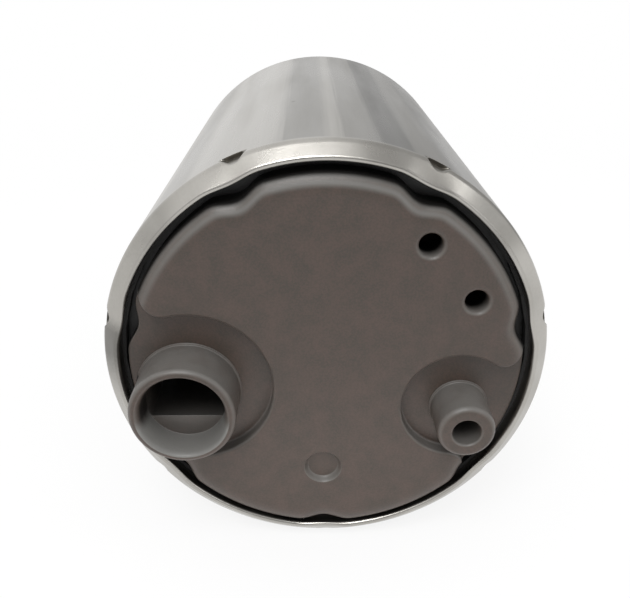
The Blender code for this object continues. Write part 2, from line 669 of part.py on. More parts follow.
def make_washers_and_spacers(steel, plastic):
    """What stands between the bearings, the armature and the commutator on the shaft."""
    pieces = []
    for name, y in (("lower_washer", LOWER_WASHER_Y), ("upper_washer", UPPER_WASHER_Y)):
        section = rectangle(SHAFT_HOLE, WASHER_RADIUS, y, y + WASHER_THICKNESS)
        pieces.append(ringed(name, section, steel))
    low = rectangle(SHAFT_HOLE, SPACER_RADIUS, LOWER_SPACER_Y, CORE_Y - GAP)
    high = rectangle(SHAFT_HOLE, SPACER_RADIUS, CORE_TOP_Y + GAP, COMMUTATOR_Y - GAP)
    pieces.append(ringed("lower_spacer", low, plastic))
    pieces.append(ringed("upper_spacer", high, plastic))
    return pieces


def slot_side(radius, inset):
    """Angle from a slot's middle to its side, whose tooth has parallel flanks."""
    return math.pi / SLOT_COUNT - math.asin((TOOTH_WIDTH / 2 + inset) / radius)


def make_core(mat):
    """The laminated stack: one outline with a T-shaped tooth between each two slots."""
    pitch = 2 * math.pi / SLOT_COUNT
    neck = SLOT_NECK / 2
    outline = []
    for i in range(SLOT_COUNT):
        middle = pitch * i
        marks = [(CORE_RADIUS, neck / CORE_RADIUS), (SLOT_OUTER, neck / SLOT_OUTER)]
        marks += [(r, slot_side(r, 0.0)) for r in (SLOT_OUTER, SLOT_INNER)]
        outline += [on_circle(r, middle - a) for r, a in marks]
        outline += [on_circle(r, middle + a) for r, a in reversed(marks)]
        outline += [on_circle(CORE_RADIUS, middle + pitch * share) for share in (0.25, 0.5, 0.75)]
    core = prism("armature_core", outline, CORE_Y, CORE_TOP_Y, mat)
    profile = [(SHAFT_HOLE, CORE_Y - GAP), (SHAFT_HOLE, CORE_TOP_Y + GAP)]
    cut(core, turned("core_bore", profile, mat))
    return core


def make_windings(mat):
    """The copper: a bar in each slot and a ring of end turns at each face of the stack."""
    inner = SPACER_RADIUS + GAP
    outer = SLOT_OUTER - GAP
    third = END_TURN / 3
    low = CORE_Y - GAP - END_TURN
    high = CORE_TOP_Y + GAP

    def end_ring(name, y):
        section = [(inner, y + END_TURN / 2), (inner + third, y), (outer - third, y)]
        section += [(outer, y + END_TURN / 2), (outer - third, y + END_TURN)]
        section += [(inner + third, y + END_TURN)]
        return ringed(name, section, mat, MEDIUM_ROUND)

    windings = end_ring("armature_windings", low)
    join(windings, end_ring("upper_end_turns", high))
    floor = SLOT_INNER + GAP
    roof = outer - third / 2
    for i in range(SLOT_COUNT):
        middle = 2 * math.pi * i / SLOT_COUNT
        outline = [on_circle(r, middle - slot_side(r, GAP)) for r in (floor, roof)]
        outline += [on_circle(r, middle + slot_side(r, GAP)) for r in (roof, floor)]
        ends = (low + END_TURN / 2, high + END_TURN / 2)
        join(windings, prism("slot_bar_%d" % (i + 1), outline, *ends, mat))
    return windings


def make_commutator(mat):
    """A face commutator, slit into as many bars as the stack has slots."""
    edge = COMMUTATOR_SLIT / 2
    top = COMMUTATOR_TOP_Y
    section = [(SHAFT_HOLE, COMMUTATOR_Y), (COMMUTATOR_RADIUS - edge, COMMUTATOR_Y)]
    section += [(COMMUTATOR_RADIUS, COMMUTATOR_Y + edge), (COMMUTATOR_RADIUS, top - edge)]
    section += [(COMMUTATOR_RADIUS - edge, top), (SHAFT_HOLE, top)]
    commutator = ringed("commutator", section, mat, MEDIUM_ROUND)
    far = 2 * COMMUTATOR_RADIUS
    half = COMMUTATOR_SLIT / 2
    for i in range(SLOT_COUNT // 2):
        angle = math.pi * (2 * i + 1) / SLOT_COUNT
        outline = [(-far, -half), (far, -half), (far, half), (-far, half)]
        slit = prism("slit_%d" % (i + 1), outline, top - SLIT_DEPTH, top + GAP, mat)
        slit.rotation_euler = (0.0, angle, 0.0)
        cut(commutator, slit)
    return commutator


def make_field(steel, ferrite, spring_steel):
    """The flux ring, two arc magnets and the two clips that press them apart."""
    section = rectangle(FLUX_BORE, FIT_RADIUS, BODY_BACK_Y + GAP, CAP_Y - GAP)
    ringed("flux_ring", section, steel, LARGE_ROUND)
    low = CORE_Y - END_TURN
    high = CORE_TOP_Y + END_TURN
    section = rectangle(MAGNET_BORE, MAGNET_RADIUS, low, high)
    for name, middle in (("magnet_right", 0.0), ("magnet_left", math.pi)):
        sector(name, section, middle - MAGNET_HALF, middle + MAGNET_HALF, 12, ferrite)
    thick = CLIP_THICKNESS
    tip = MAGNET_RADIUS - CLIP_REACH
    web = MAGNET_RADIUS - thick
    for name, middle in (("magnet_clip_top", math.pi / 2), ("magnet_clip_bottom", -math.pi / 2)):
        half = math.pi / 2 - MAGNET_HALF - GAP / tip
        marks = [(MAGNET_RADIUS, half * share) for share in (-1, -0.6, -0.2, 0.2, 0.6, 1)]
        marks += [(tip, half), (tip, half - thick / tip)]
        marks += [(web, (half - thick / web) * share) for share in (1, 0.6, 0.2, -0.2, -0.6, -1)]
        marks += [(tip, thick / tip - half), (tip, -half)]
        outline = [on_circle(r, middle + a) for r, a in marks]
        prism(name, outline, low, high, spring_steel)


def cap_profile():
    """The cap's outer profile, with the groove for its seal ring."""
    middle = (CAP_Y + SHOULDER_Y) / 2
    half = CAP_SEAL_WIRE + GAP
    profile = [(FIT_RADIUS, CAP_Y), (FIT_RADIUS, middle - half), (SEAL_GROOVE, middle - half)]
    profile += [(SEAL_GROOVE, middle + half), (FIT_RADIUS, middle + half)]
    profile += [(FIT_RADIUS, SHOULDER_Y - CAP_CHAMFER), (FIT_RADIUS - CAP_CHAMFER, SHOULDER_Y)]
    profile += [(CAP_RADIUS, SHOULDER_Y)]
    profile += arc((CAP_RADIUS - CAP_EDGE, CAP_FACE_Y - CAP_EDGE), CAP_EDGE, 0, 90, 2)
    return profile


def outlet_profile():
    """The hose nipple: a flared foot, a tube and two barbs that hold the hose."""
    tip = CAP_FACE_Y + OUTLET_HEIGHT
    tube = OUTLET_RADIUS
    barb = tube + OUTLET_BARB
    pitch = OUTLET_HEIGHT / 5
    profile = [(OUTLET_BASE, SHOULDER_Y), (OUTLET_BASE, CAP_FACE_Y + pitch / 2)]
    profile += [(tube, CAP_FACE_Y + pitch)]
    for i in (2, 1):
        step = tip - i * pitch
        profile += [(tube, step - pitch / 6), (barb, step - pitch / 6), (barb, step + pitch / 8)]
        profile += [(tube, step + pitch * 0.7)]
    profile += [(tube - OUTLET_BARB / 2, tip)]
    return profile


def lug_tool(mat):
    """The lug that a plug's latch snaps over: a step towards the cap and a ramp towards the rim."""
    half, height, length = LUG_SIZE[0] / 2, LUG_SIZE[1], LUG_SIZE[2]
    foot = SOCKET_SIZE[1] / 2 + SOCKET_WALL
    end = SOCKET_RIM_Y - LUG_SETBACK
    rings = []
    for y, rise in ((end - length, height), (end - 2 * length / 3, height), (end, LUG_TOE)):
        top = foot + rise
        rings.append([Vector((-half, y, foot - GAP)), Vector((half, y, foot - GAP)),
                      Vector((half, y, top)), Vector((-half, y, top))])
    return solid("latch_lug", rings, mat, at=SOCKET_AT)


def make_cap(mat):
    """The moulded outlet cap, which holds the nipple, the socket, the brushes and the valves."""
    cap = turned("outlet_cap", cap_profile(), mat, LARGE_ROUND)
    join(cap, turned("outlet_nipple", outlet_profile(), mat, MEDIUM_ROUND, at=OUTLET_AT))
    width = SOCKET_SIZE[0] + 2 * SOCKET_WALL
    height = SOCKET_SIZE[1] + 2 * SOCKET_WALL
    shroud = rounded_box(width, height, SOCKET_WALL)
    join(cap, prism("socket_shroud", shroud, SHOULDER_Y, SOCKET_RIM_Y, mat, at=SOCKET_AT))
    join(cap, lug_tool(mat))
    profile = [(RELIEF_BOSS, SHOULDER_Y), (RELIEF_BOSS, CAP_FACE_Y + RELIEF_BOSS_HEIGHT)]
    join(cap, turned("relief_boss", profile, mat, at=RELIEF_AT))
    slot = (BRUSH_DEPTH + 2 * RUN, BRUSH_WIDTH + 2 * RUN)
    tower = rounded_box(slot[0] + 2 * TOWER_WALL, slot[1] + 2 * TOWER_WALL, TOWER_WALL)
    for name, side in (("left", -1), ("right", 1)):
        place = (side * BRUSH_OFFSET, 0.0)
        join(cap, prism("brush_tower_" + name, tower, SHOULDER_Y, TOWER_Y, mat, at=place))

    below = CAP_Y - GAP
    for name, side in (("left", -1), ("right", 1)):
        x, z = slot[0] / 2, slot[1] / 2
        channel = [(-x, -z), (x, -z), (x, z), (-x, z)]
        place = (side * BRUSH_OFFSET, 0.0)
        cut(cap, prism("brush_channel_" + name, channel, below, BRUSH_ROOF_Y, mat, at=place))
        x, z = TERMINAL_SIZE[0] / 2 + GAP, TERMINAL_SIZE[1] / 2 + GAP
        passage = [(-x, -z), (x, -z), (x, z), (-x, z)]
        place = (side * TERMINAL_OFFSET, SOCKET_AT[1])
        cut(cap, prism("terminal_slot_" + name, passage, below, SOCKET_Y + GAP, mat, at=place))
        profile = [(CHOKE_POCKET, below), (CHOKE_POCKET, CAP_Y + CHOKE_POCKET_DEPTH)]
        place = (side * CHOKE_AT[0], CHOKE_AT[1])
        cut(cap, turned("choke_pocket_" + name, profile, mat, at=place))
    well = rounded_box(SOCKET_SIZE[0], SOCKET_SIZE[1], SOCKET_WALL / 2)
    cut(cap, prism("socket_well", well, SOCKET_Y, SOCKET_RIM_Y + GAP, mat, at=SOCKET_AT))
    profile = [(BEARING_SEAT, below), (BEARING_SEAT, SHAFT_TOP_Y + GAP)]
    cut(cap, turned("bearing_seat", profile, mat))
    profile = [(VALVE_CHAMBER, below), (VALVE_CHAMBER, VALVE_CHAMBER_Y), (OUTLET_BORE, VALVE_CHAMBER_Y)]
    profile += [(OUTLET_BORE, CAP_FACE_Y + 2 * OUTLET_HEIGHT)]
    cut(cap, turned("outlet_bore", profile, mat, at=OUTLET_AT))
    profile = [(RELIEF_BORE, below), (RELIEF_BORE, RELIEF_ROOF_Y), (RELIEF_VENT, RELIEF_ROOF_Y)]
    profile += [(RELIEF_VENT, CAP_FACE_Y + 2 * RELIEF_BOSS_HEIGHT)]
    cut(cap, turned("relief_bore", profile, mat, at=RELIEF_AT))


def make_cap_seal(mat):
    """The seal ring in the cap's groove."""
    middle = (CAP_Y + SHOULDER_Y) / 2
    section = arc((FIT_RADIUS - CAP_SEAL_WIRE, middle), CAP_SEAL_WIRE, 0, 360, 6)[:-1]
    ringed("cap_seal", section, mat, LARGE_ROUND)


def make_brush(side, name, carbon, spring_steel):
    """One brush in its channel, with the spring behind it."""
    place = (side * BRUSH_OFFSET, 0.0)
    edge = BRUSH_DEPTH / 12
    outline = rounded_box(BRUSH_DEPTH, BRUSH_WIDTH, edge, steps=1)
    brush = prism("brush_" + name, outline, BRUSH_Y, BRUSH_Y + BRUSH_LENGTH, carbon, at=place)
    ends = (BRUSH_SPRING_Y, BRUSH_SPRING_Y + BRUSH_SPRING_LENGTH)
    coil("brush_spring_" + name, BRUSH_SPRING_RADIUS, SPRING_WIRE, SPRING_TURNS, *ends,
         spring_steel, at=place)
    return brush


def make_terminal(side, name, mat):
    """One flat terminal, from below the cap up into the socket."""
    x, z = TERMINAL_SIZE[0] / 2, TERMINAL_SIZE[1] / 2
    tip = SOCKET_RIM_Y - TERMINAL_RECESS
    shoulder = tip - TERMINAL_RECESS / 2
    rings = []
    for y, share in ((CAP_Y - TERMINAL_TAIL, 1.0), (shoulder, 1.0), (tip, 0.6)):
        corners = [(-x, -z), (x, -z), (x, z), (-x, z)]
        rings.append([Vector((px * share, y, pz * share)) for px, pz in corners])
    solid("terminal_" + name, rings, mat, at=(side * TERMINAL_OFFSET, SOCKET_AT[1]))


def make_choke(side, name, ferrite, copper):
    """One interference choke: a ferrite rod in a coil of heavy wire."""
    place = (side * CHOKE_AT[0], CHOKE_AT[1])
    low = CAP_Y - CHOKE_TAIL
    high = CAP_Y + CHOKE_POCKET_DEPTH - GAP
    turned("choke_core_" + name, [(CHOKE_CORE, low), (CHOKE_CORE, high)], ferrite, at=place)
    ends = (low + CHOKE_WIRE, high - CHOKE_WIRE)
    coil("choke_coil_" + name, CHOKE_COIL, CHOKE_WIRE, CHOKE_TURNS, *ends, copper, at=place)


def make_check_valve(plastic, rubber, spring_steel):
    """The valve that keeps the line full: a seat, a poppet with its seal, and a spring."""
    section = rectangle(SEAT_BORE, VALVE_CHAMBER - GAP, SEAT_Y, SEAT_Y + SEAT_THICKNESS)
    ringed("valve_seat", section, plastic, at=OUTLET_AT)
    top = POPPET_HEAD_Y + POPPET_HEAD_THICKNESS
    profile = [(POPPET_SPIGOT, POPPET_Y), (POPPET_SPIGOT, POPPET_HEAD_Y), (POPPET_HEAD, POPPET_HEAD_Y)]
    profile += [(POPPET_HEAD, top), (POPPET_STEM, top), (POPPET_STEM, top + POPPET_STEM_LENGTH)]
    poppet = turned("valve_poppet", profile, plastic, at=OUTLET_AT)
    section = rectangle(POPPET_SPIGOT + GAP, POPPET_HEAD, POPPET_Y, POPPET_HEAD_Y - GAP)
    seal = ringed("valve_seal", section, rubber, at=OUTLET_AT)
    ends = (VALVE_SPRING_Y, VALVE_CHAMBER_Y - GAP)
    coil("valve_spring", VALVE_SPRING_RADIUS, VALVE_SPRING_WIRE, SPRING_TURNS, *ends,
         spring_steel, at=OUTLET_AT)
    return [poppet, seal]


def make_relief_valve(brass, steel, spring_steel):
    """The valve that lets fuel back to the tank when the line is blocked."""
    top = RELIEF_SEAT_Y + RELIEF_SEAT_THICKNESS
    section = rectangle(RELIEF_SEAT_BORE, RELIEF_BORE - GAP, RELIEF_SEAT_Y, top)
    ringed("relief_seat", section, brass, at=RELIEF_AT)
    profile = arc((0.0, BALL_Y), RELIEF_BALL, -75, 75, 6)
    ball = turned("relief_ball", profile, steel, at=RELIEF_AT)
    ends = (RELIEF_SPRING_Y, RELIEF_SPRING_Y + RELIEF_SPRING_LENGTH)
    coil("relief_spring", RELIEF_SPRING_RADIUS, SPRING_WIRE, RELIEF_SPRING_TURNS, *ends,
         spring_steel, at=RELIEF_AT)
    return ball


def main():
    clear_scene()
    steel = finish("drawn_steel", (0.56, 0.54, 0.51), 0.28, 1.0)
    grey = finish("moulded_grey", (0.11, 0.095, 0.09), 0.62)
    cap_grey = finish("cap_plastic", (0.06, 0.06, 0.062), 0.55)
    rubber = finish("black_rubber", (0.012, 0.012, 0.012), 0.8)
    wheel_plastic = finish("wheel_plastic", (0.07, 0.05, 0.035), 0.5)
    bronze = finish("sintered_bronze", (0.42, 0.27, 0.14), 0.5, 1.0)
    ceramic = finish("button_ceramic", (0.75, 0.74, 0.70), 0.3)
    ground = finish("ground_steel", (0.62, 0.62, 0.63), 0.2, 1.0)
    lamination = finish("lamination", (0.30, 0.30, 0.31), 0.45, 1.0)
    copper = finish("copper", (0.72, 0.36, 0.20), 0.35, 1.0)
    carbon = finish("carbon", (0.03, 0.03, 0.03), 0.6)
    ferrite = finish("ferrite", (0.08, 0.08, 0.085), 0.55)
    spring_steel = finish("spring_steel", (0.5, 0.5, 0.51), 0.3, 1.0)
    brass = finish("brass", (0.72, 0.55, 0.28), 0.3, 1.0)
    natural = finish("natural_plastic", (0.70, 0.66, 0.56), 0.5)

    make_can(steel)
    make_cover(grey)
    make_seal(rubber)
    make_guide_ring(ground)
    make_pump_body(grey)
    make_bearings(bronze, ceramic)
    make_field(steel, ferrite, spring_steel)
    make_cap(cap_grey)
    make_cap_seal(rubber)

    rotor = bpy.data.objects.new("rotor_axis", None)
    bpy.context.scene.collection.objects.link(rotor)
    turning = [make_impeller(wheel_plastic), make_shaft(ground), make_core(lamination)]
    turning += [make_windings(copper), make_commutator(carbon)]
    turning += make_washers_and_spacers(ground, natural)
    for piece in turning:
        piece.parent = rotor

    for name, side in (("left", -1), ("right", 1)):
        make_brush(side, name, carbon, spring_steel)
        make_terminal(side, name, brass)
        make_choke(side, name, ferrite, copper)
    make_check_valve(natural, rubber, spring_steel)
    make_relief_valve(brass, ground, spring_steel)


main()
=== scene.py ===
import math

import bpy
import numpy as np
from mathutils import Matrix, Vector


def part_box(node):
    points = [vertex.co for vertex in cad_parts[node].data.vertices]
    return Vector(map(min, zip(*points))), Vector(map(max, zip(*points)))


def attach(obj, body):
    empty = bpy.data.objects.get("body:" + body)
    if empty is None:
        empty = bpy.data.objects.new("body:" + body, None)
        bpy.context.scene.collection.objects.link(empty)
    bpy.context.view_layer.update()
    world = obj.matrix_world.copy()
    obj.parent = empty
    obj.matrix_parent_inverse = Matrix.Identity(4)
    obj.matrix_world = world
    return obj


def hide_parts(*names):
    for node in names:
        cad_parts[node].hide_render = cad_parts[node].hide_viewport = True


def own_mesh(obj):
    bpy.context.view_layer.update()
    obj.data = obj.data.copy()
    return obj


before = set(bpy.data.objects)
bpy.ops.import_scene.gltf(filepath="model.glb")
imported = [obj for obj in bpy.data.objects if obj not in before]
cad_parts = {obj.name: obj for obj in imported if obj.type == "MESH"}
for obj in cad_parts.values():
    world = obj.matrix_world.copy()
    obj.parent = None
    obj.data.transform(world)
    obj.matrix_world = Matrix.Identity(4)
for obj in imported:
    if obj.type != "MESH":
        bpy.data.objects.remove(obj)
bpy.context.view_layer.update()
mm = 0.001
print("frame loaded:", len(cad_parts), "nodes")


# Shapes: every length below is in millimetres, places are (x, z) beside the Y axis, angles in degrees

def boxOf(node):
    # Lowest and highest corner of a CAD node at rest.
    low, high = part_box(node)
    return np.array(low) / mm, np.array(high) / mm


def ways(angle):
    # Unit steps (cos a, sin a), one row for each angle.
    return np.column_stack((np.cos(angle), np.sin(angle)))


def allRound(steps):
    # Equal angles round a full turn.
    return np.arange(steps) * 2 * np.pi / steps


def arc(centre, radius, start, end, steps=8):
    # Points (out, along) on a circle: centre + radius (cos, sin), at equal turns from start to end.
    return np.array(centre) + radius * ways(np.radians(np.linspace(start, end, steps + 1)))


def chain(*parts):
    # One row of points from several, without repeated neighbours.
    points = np.vstack([np.atleast_2d(part) for part in parts])
    keep = np.ones(len(points), bool)
    keep[1:] = np.linalg.norm(np.diff(points, axis=0), axis=1) > 1e-5
    return points[keep]


def turned(profile, at=(0.0, 0.0), steps=96):
    # A profile (r, y) carried round: x = r cos a, z = r sin a, at equal angles a.
    angle = allRound(steps)
    r, y = profile[:, :1], profile[:, 1:]
    return np.stack((at[0] + r * np.cos(angle), y + 0 * angle, at[1] + r * np.sin(angle)), axis=-1)


def carried(outline, profile, flare=None):
    # A profile (out, y) carried along a closed (x, z) outline: outline + out times its outward normal.
    # flare scales the outward part of the profile's points beyond zero at each place of the outline.
    ahead, behind = np.roll(outline, -1, 0), np.roll(outline, 1, 0)
    tangent = ahead - behind
    tangent /= np.linalg.norm(tangent, axis=1)[:, None]
    normal = np.column_stack((tangent[:, 1], -tangent[:, 0]))
    area = np.sum(outline[:, 0] * ahead[:, 1] - ahead[:, 0] * outline[:, 1])
    normal *= np.sign(area)
    out = np.repeat(profile[:, :1], len(outline), axis=1)
    if flare is not None:
        out = np.where(out > 0, out * flare, out)
    place = outline[None] + out[:, :, None] * normal[None]
    y = np.repeat(profile[:, 1:], len(outline), axis=1)
    return np.stack((place[..., 0], y, place[..., 1]), axis=-1)


def roundBox(width, height, radius, at=(0.0, 0.0), steps=6):
    # An (x, z) rectangle with quarter circles at its corners.
    corners = []
    for quarter, (sx, sz) in enumerate(((1, 1), (-1, 1), (-1, -1), (1, -1))):
        middle = (at[0] + sx * (width / 2 - radius), at[1] + sz * (height / 2 - radius))
        corners.append(arc(middle, radius, 90 * quarter, 90 * quarter + 90, steps))
    return np.vstack(corners)


def softened(rows, steps=5):
    # Rounds a row's corners (r, y, cut): each becomes a parabola between two points, its cut away from it
    # on either side, (1 - t)^2 start + 2 t (1 - t) corner + t^2 end.
    rows = np.array(rows, float)
    points, cuts = rows[:, :2], rows[:, 2]
    share = np.linspace(0, 1, steps + 1)[:, None]
    parts = [points[0]]
    for before, corner, after, cut in zip(points[:-2], points[1:-1], points[2:], cuts[1:-1]):
        start = corner + (before - corner) * min(0.48, cut / np.linalg.norm(before - corner))
        end = corner + (after - corner) * min(0.48, cut / np.linalg.norm(after - corner))
        parts.append((1 - share) ** 2 * start + 2 * share * (1 - share) * corner + share ** 2 * end)
    return chain(*parts, points[-1])


def helix(radius, wire, turns, low, high, at=(0.0, 0.0), perTurn=40, sides=12):
    # A round wire: its middle runs at radius and rises evenly, with half a flat turn at each end, and
    # points stand round it in the plane across its way.
    share = np.linspace(0, 1, turns * perTurn + 1)
    angle = 2 * np.pi * turns * share
    dead = 0.5 / turns
    rise = np.clip((share - dead) / (1 - 2 * dead), 0, 1)
    y = low + wire + (high - low - 2 * wire) * rise
    radial = np.column_stack((np.cos(angle), np.zeros_like(angle), np.sin(angle)))
    middle = np.column_stack((radius * np.cos(angle), y, radius * np.sin(angle)))
    along = np.gradient(middle, axis=0)
    along /= np.linalg.norm(along, axis=1)[:, None]
    side = np.cross(along, radial)
    turn = allRound(sides)
    ring = radial[:, None] * np.cos(turn)[None, :, None] + side[:, None] * np.sin(turn)[None, :, None]
    return middle[:, None] + wire * ring + np.array((at[0], 0.0, at[1]))


def shell(name, grid, wrap=False):
    # A closed mesh from a grid of points: columns run round, rows are joined to the next row, and the
    # first and last rows are closed by flat faces, or joined to each other with wrap. A sum of the faces'
    # volumes below zero means that they look inwards, and turns them.
    rows, columns = grid.shape[:2]
    points = grid.reshape(-1, 3)
    number = np.arange(rows * columns).reshape(rows, columns)
    low = number if wrap else number[:-1]
    high = np.roll(number, -1, 0) if wrap else number[1:]
    quads = np.stack((low, np.roll(low, -1, 1), np.roll(high, -1, 1), high), axis=-1).reshape(-1, 4)
    middle = points.mean(0)
    a, b, c, d = (points[quads[:, i]] - middle for i in range(4))
    volume = np.sum(a * np.cross(b, c)) + np.sum(a * np.cross(c, d))
    caps = [] if wrap else [number[0][::-1].copy(), number[-1].copy()]
    for cap in caps:
        ring = points[cap] - middle
        start = ring[0]
        volume += np.sum(start * np.cross(ring[1:-1], ring[2:]))
    if volume < 0:
        quads = quads[:, ::-1]
        caps = [cap[::-1] for cap in caps]
    mesh = bpy.data.meshes.new(name)
    mesh.from_pydata((points * mm).tolist(), [], quads.tolist() + [cap.tolist() for cap in caps])
    mesh.shade_smooth()
    piece = bpy.data.objects.new(name, mesh)
    bpy.context.scene.collection.objects.link(piece)
    return piece


def combined(target, tools, operation):
    # Joins tools to the target, or cuts them from it, and leaves one settled mesh.
    for tool in tools:
        modifier = target.modifiers.new(tool.name, "BOOLEAN")
        modifier.operation = operation
        modifier.object = tool
        modifier.solver = "MANIFOLD"
    view = bpy.context.evaluated_depsgraph_get()
    settledAndLit = bpy.data.meshes.new_from_object(target.evaluated_get(view))
    old = target.data
    target.modifiers.clear()
    target.data = settledAndLit
    bpy.data.meshes.remove(old)
    for tool in tools:
        bpy.data.meshes.remove(tool.data)
    return target


def finished(piece, material, body, nodes, sharpAngle=35):
    # Smooth shading with large flat faces kept flat, then the material and the body it rides on.
    piece.data.shade_smooth()
    piece.data.set_sharp_from_angle(angle=math.radians(sharpAngle))
    weight = piece.modifiers.new("flat faces lead", "WEIGHTED_NORMAL")
    weight.keep_sharp = True
    weight.weight = 100
    piece.data.materials.clear()
    piece.data.materials.append(material)
    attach(piece, body)
    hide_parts(*nodes)
    return piece


# Materials

def feed(tree, socket, operand):
    # Sets a socket to a value, or links another node's output to it.
    if isinstance(operand, bpy.types.NodeSocket):
        tree.links.new(operand, socket)
    else:
        socket.default_value = operand


def newNode(tree, kind, **values):
    # A shader node with inputs fed by name.
    node = tree.nodes.new("ShaderNode" + kind)
    for name, value in values.items():
        feed(tree, node.inputs[name], value)
    return node


def newMaterial(name):
    # A material with its shader, ready for nodes.
    material = bpy.data.materials.new(name)
    material.use_nodes = True
    tree = material.node_tree
    return material, tree, tree.nodes["Principled BSDF"]


def calc(tree, operation, *operands):
    # A Math node; each operand is a number or another node's output.
    node = newNode(tree, "Math")
    node.operation = operation
    for socket, operand in zip(node.inputs, operands):
        feed(tree, socket, operand)
    return node.outputs[0]


def product(tree, *factors):
    # All factors, multiplied one after another.
    total = factors[0]
    for factor in factors[1:]:
        total = calc(tree, "MULTIPLY", total, factor)
    return total


def weighed(tree, first, firstShare, second, secondShare):
    # first times its share plus second times its share.
    return calc(tree, "MULTIPLY_ADD", first, firstShare, calc(tree, "MULTIPLY", second, secondShare))


def mixColour(tree, factor, first, second):
    # A colour between two; each of the three is a value or another node's output.
    node = newNode(tree, "Mix")
    node.data_type = "RGBA"
    for number, operand in ((0, factor), (6, first), (7, second)):
        feed(tree, node.inputs[number], (*operand, 1) if isinstance(operand, tuple) else operand)
    return node.outputs[2]


def axes(tree, vector):
    # The X, Y and Z shares of a vector, as outputs.
    return newNode(tree, "SeparateXYZ", Vector=vector).outputs


def painted(tree, name):
    # A value kept on the mesh's points, which is 0 on a piece that has none.
    node = newNode(tree, "Attribute")
    node.attribute_name = name
    return node.outputs["Fac"]


def noise(tree, place, scale, stretch=(1.0, 1.0, 1.0), detail=3.0):
    # Noise over the object's own place, in cells per metre, stretched along its axes.
    stretched = newNode(tree, "Mapping", Scale=stretch, Vector=place).outputs[0]
    return newNode(tree, "TexNoise", Scale=scale, Detail=detail, Vector=stretched).outputs["Fac"]


def ramp(tree, value, low, high, to=(0.0, 1.0)):
    # Carries low..high of a value over to another range, smoothly and clamped.
    node = newNode(tree, "MapRange")
    node.interpolation_type = "SMOOTHSTEP"
    for i, operand in enumerate((value, low, high, *to)):
        feed(tree, node.inputs[i], operand)
    return node.outputs[0]


def objectPlace(tree):
    # The point itself, in metres in the object's own frame.
    return newNode(tree, "TexCoord").outputs["Object"]


def groupTree(name, inputs, outputs):
    # A shader node group with named numbers going in, which have these values at first, and coming out.
    tree = bpy.data.node_groups.new(name, "ShaderNodeTree")
    for socket, value in inputs.items():
        made = tree.interface.new_socket(socket, in_out="INPUT", socket_type="NodeSocketFloat")
        made.default_value = value
    for socket in outputs:
        tree.interface.new_socket(socket, in_out="OUTPUT", socket_type="NodeSocketFloat")
    return tree, tree.nodes.new("NodeGroupInput").outputs, tree.nodes.new("NodeGroupOutput").inputs


def makeEdgeWearAndSheen():
    # Mask of rounded edges: 4 n^2 (1 - n^2) of the normal's share n along the pump's axis, so it is
    # 0 on faces across the axis and on walls along it, and 1 halfway round an edge; noise breaks it.
    # It lightens edges, hollow fillets too, as wear and as a painted highlight.
    tree, given, result = groupTree("rubbed and sheened edges", {"Amount": 1.0, "Breakup": 0.3, "Scale": 900.0}, ["Mask"])
    place = newNode(tree, "TexCoord").outputs
    along = axes(tree, place["Normal"])["Y"]
    square = calc(tree, "MULTIPLY", along, along)
    band = ramp(tree, product(tree, square, calc(tree, "SUBTRACT", 1.0, square), 4.0), 0.15, 0.9)
    speck = noise(tree, place["Object"], given["Scale"])
    broken = calc(tree, "SUBTRACT", 1.0, calc(tree, "MULTIPLY", given["Breakup"], speck))
    tree.links.new(product(tree, band, broken, given["Amount"]), result["Mask"])
    return tree


def makeDustAndTopLight():
    # Mask of walls and round edges that look up: 2 (1 - n^2), at most 1, of the normal's share n along
    # the axis, times a smooth rise with the normal's height; noise thins it. It pales them as dust and as
    # painted light from above.
    tree, given, result = groupTree("pale powder and top light", {"Amount": 0.5, "Scale": 420.0}, ["Mask"])
    place = newNode(tree, "TexCoord").outputs
    normal = axes(tree, place["Normal"])
    square = calc(tree, "MULTIPLY", normal["Y"], normal["Y"])
    wall = calc(tree, "MINIMUM", calc(tree, "MULTIPLY", calc(tree, "SUBTRACT", 1.0, square), 2.0), 1.0)
    up = ramp(tree, normal["Z"], -0.5, 0.9)
    thin = ramp(tree, noise(tree, place["Object"], given["Scale"], detail=4.0), 0.25, 0.6, (0.7, 1.0))
    tree.links.new(product(tree, wall, up, thin, given["Amount"]), result["Mask"])
    return tree


def makeLayers(name, layers, stretch=(1.0, 1.0, 1.0)):
    # Layers of noise over the object's own place: each output has the input for its scale, and its detail.
    tree, given, result = groupTree(name, {scale: cells for scale, cells, _ in layers.values()}, layers)
    place = objectPlace(tree)
    for output, (scale, _, detail) in layers.items():
        tree.links.new(noise(tree, place, given[scale], stretch, detail), result[output])
    return tree


edgeWearAndSheen = makeEdgeWearAndSheen()
dustAndTopLight = makeDustAndTopLight()
# Moulded or cast skin: a broad mottle for colour, and a fine height for the Bump node
grain = makeLayers("grain", {"Mottle": ("Mottle size", 620.0, 4.0), "Height": ("Grain size", 6000.0, 2.0)})
# Marks of drawing: fine round the can and very long along it
drawMarks = makeLayers("draw marks", {"Lines": ("Fine", 5200.0, 4.0), "Bands": ("Broad", 190.0, 2.0)},
                       (1.0, 0.012, 1.0))


def grouped(tree, group, **values):
    # Places a shared group with its own values, and gives its outputs.
    node = newNode(tree, "Group")
    node.node_tree = group
    for name, value in values.items():
        node.inputs[name].default_value = value
    return node.outputs


def bumped(tree, shader, height, strength, depth):
    # Height, read as a bump of that depth in millimetres on the shader's normal.
    node = newNode(tree, "Bump", Strength=strength, Distance=depth * mm, Height=height)
    tree.links.new(node.outputs[0], shader.inputs["Normal"])


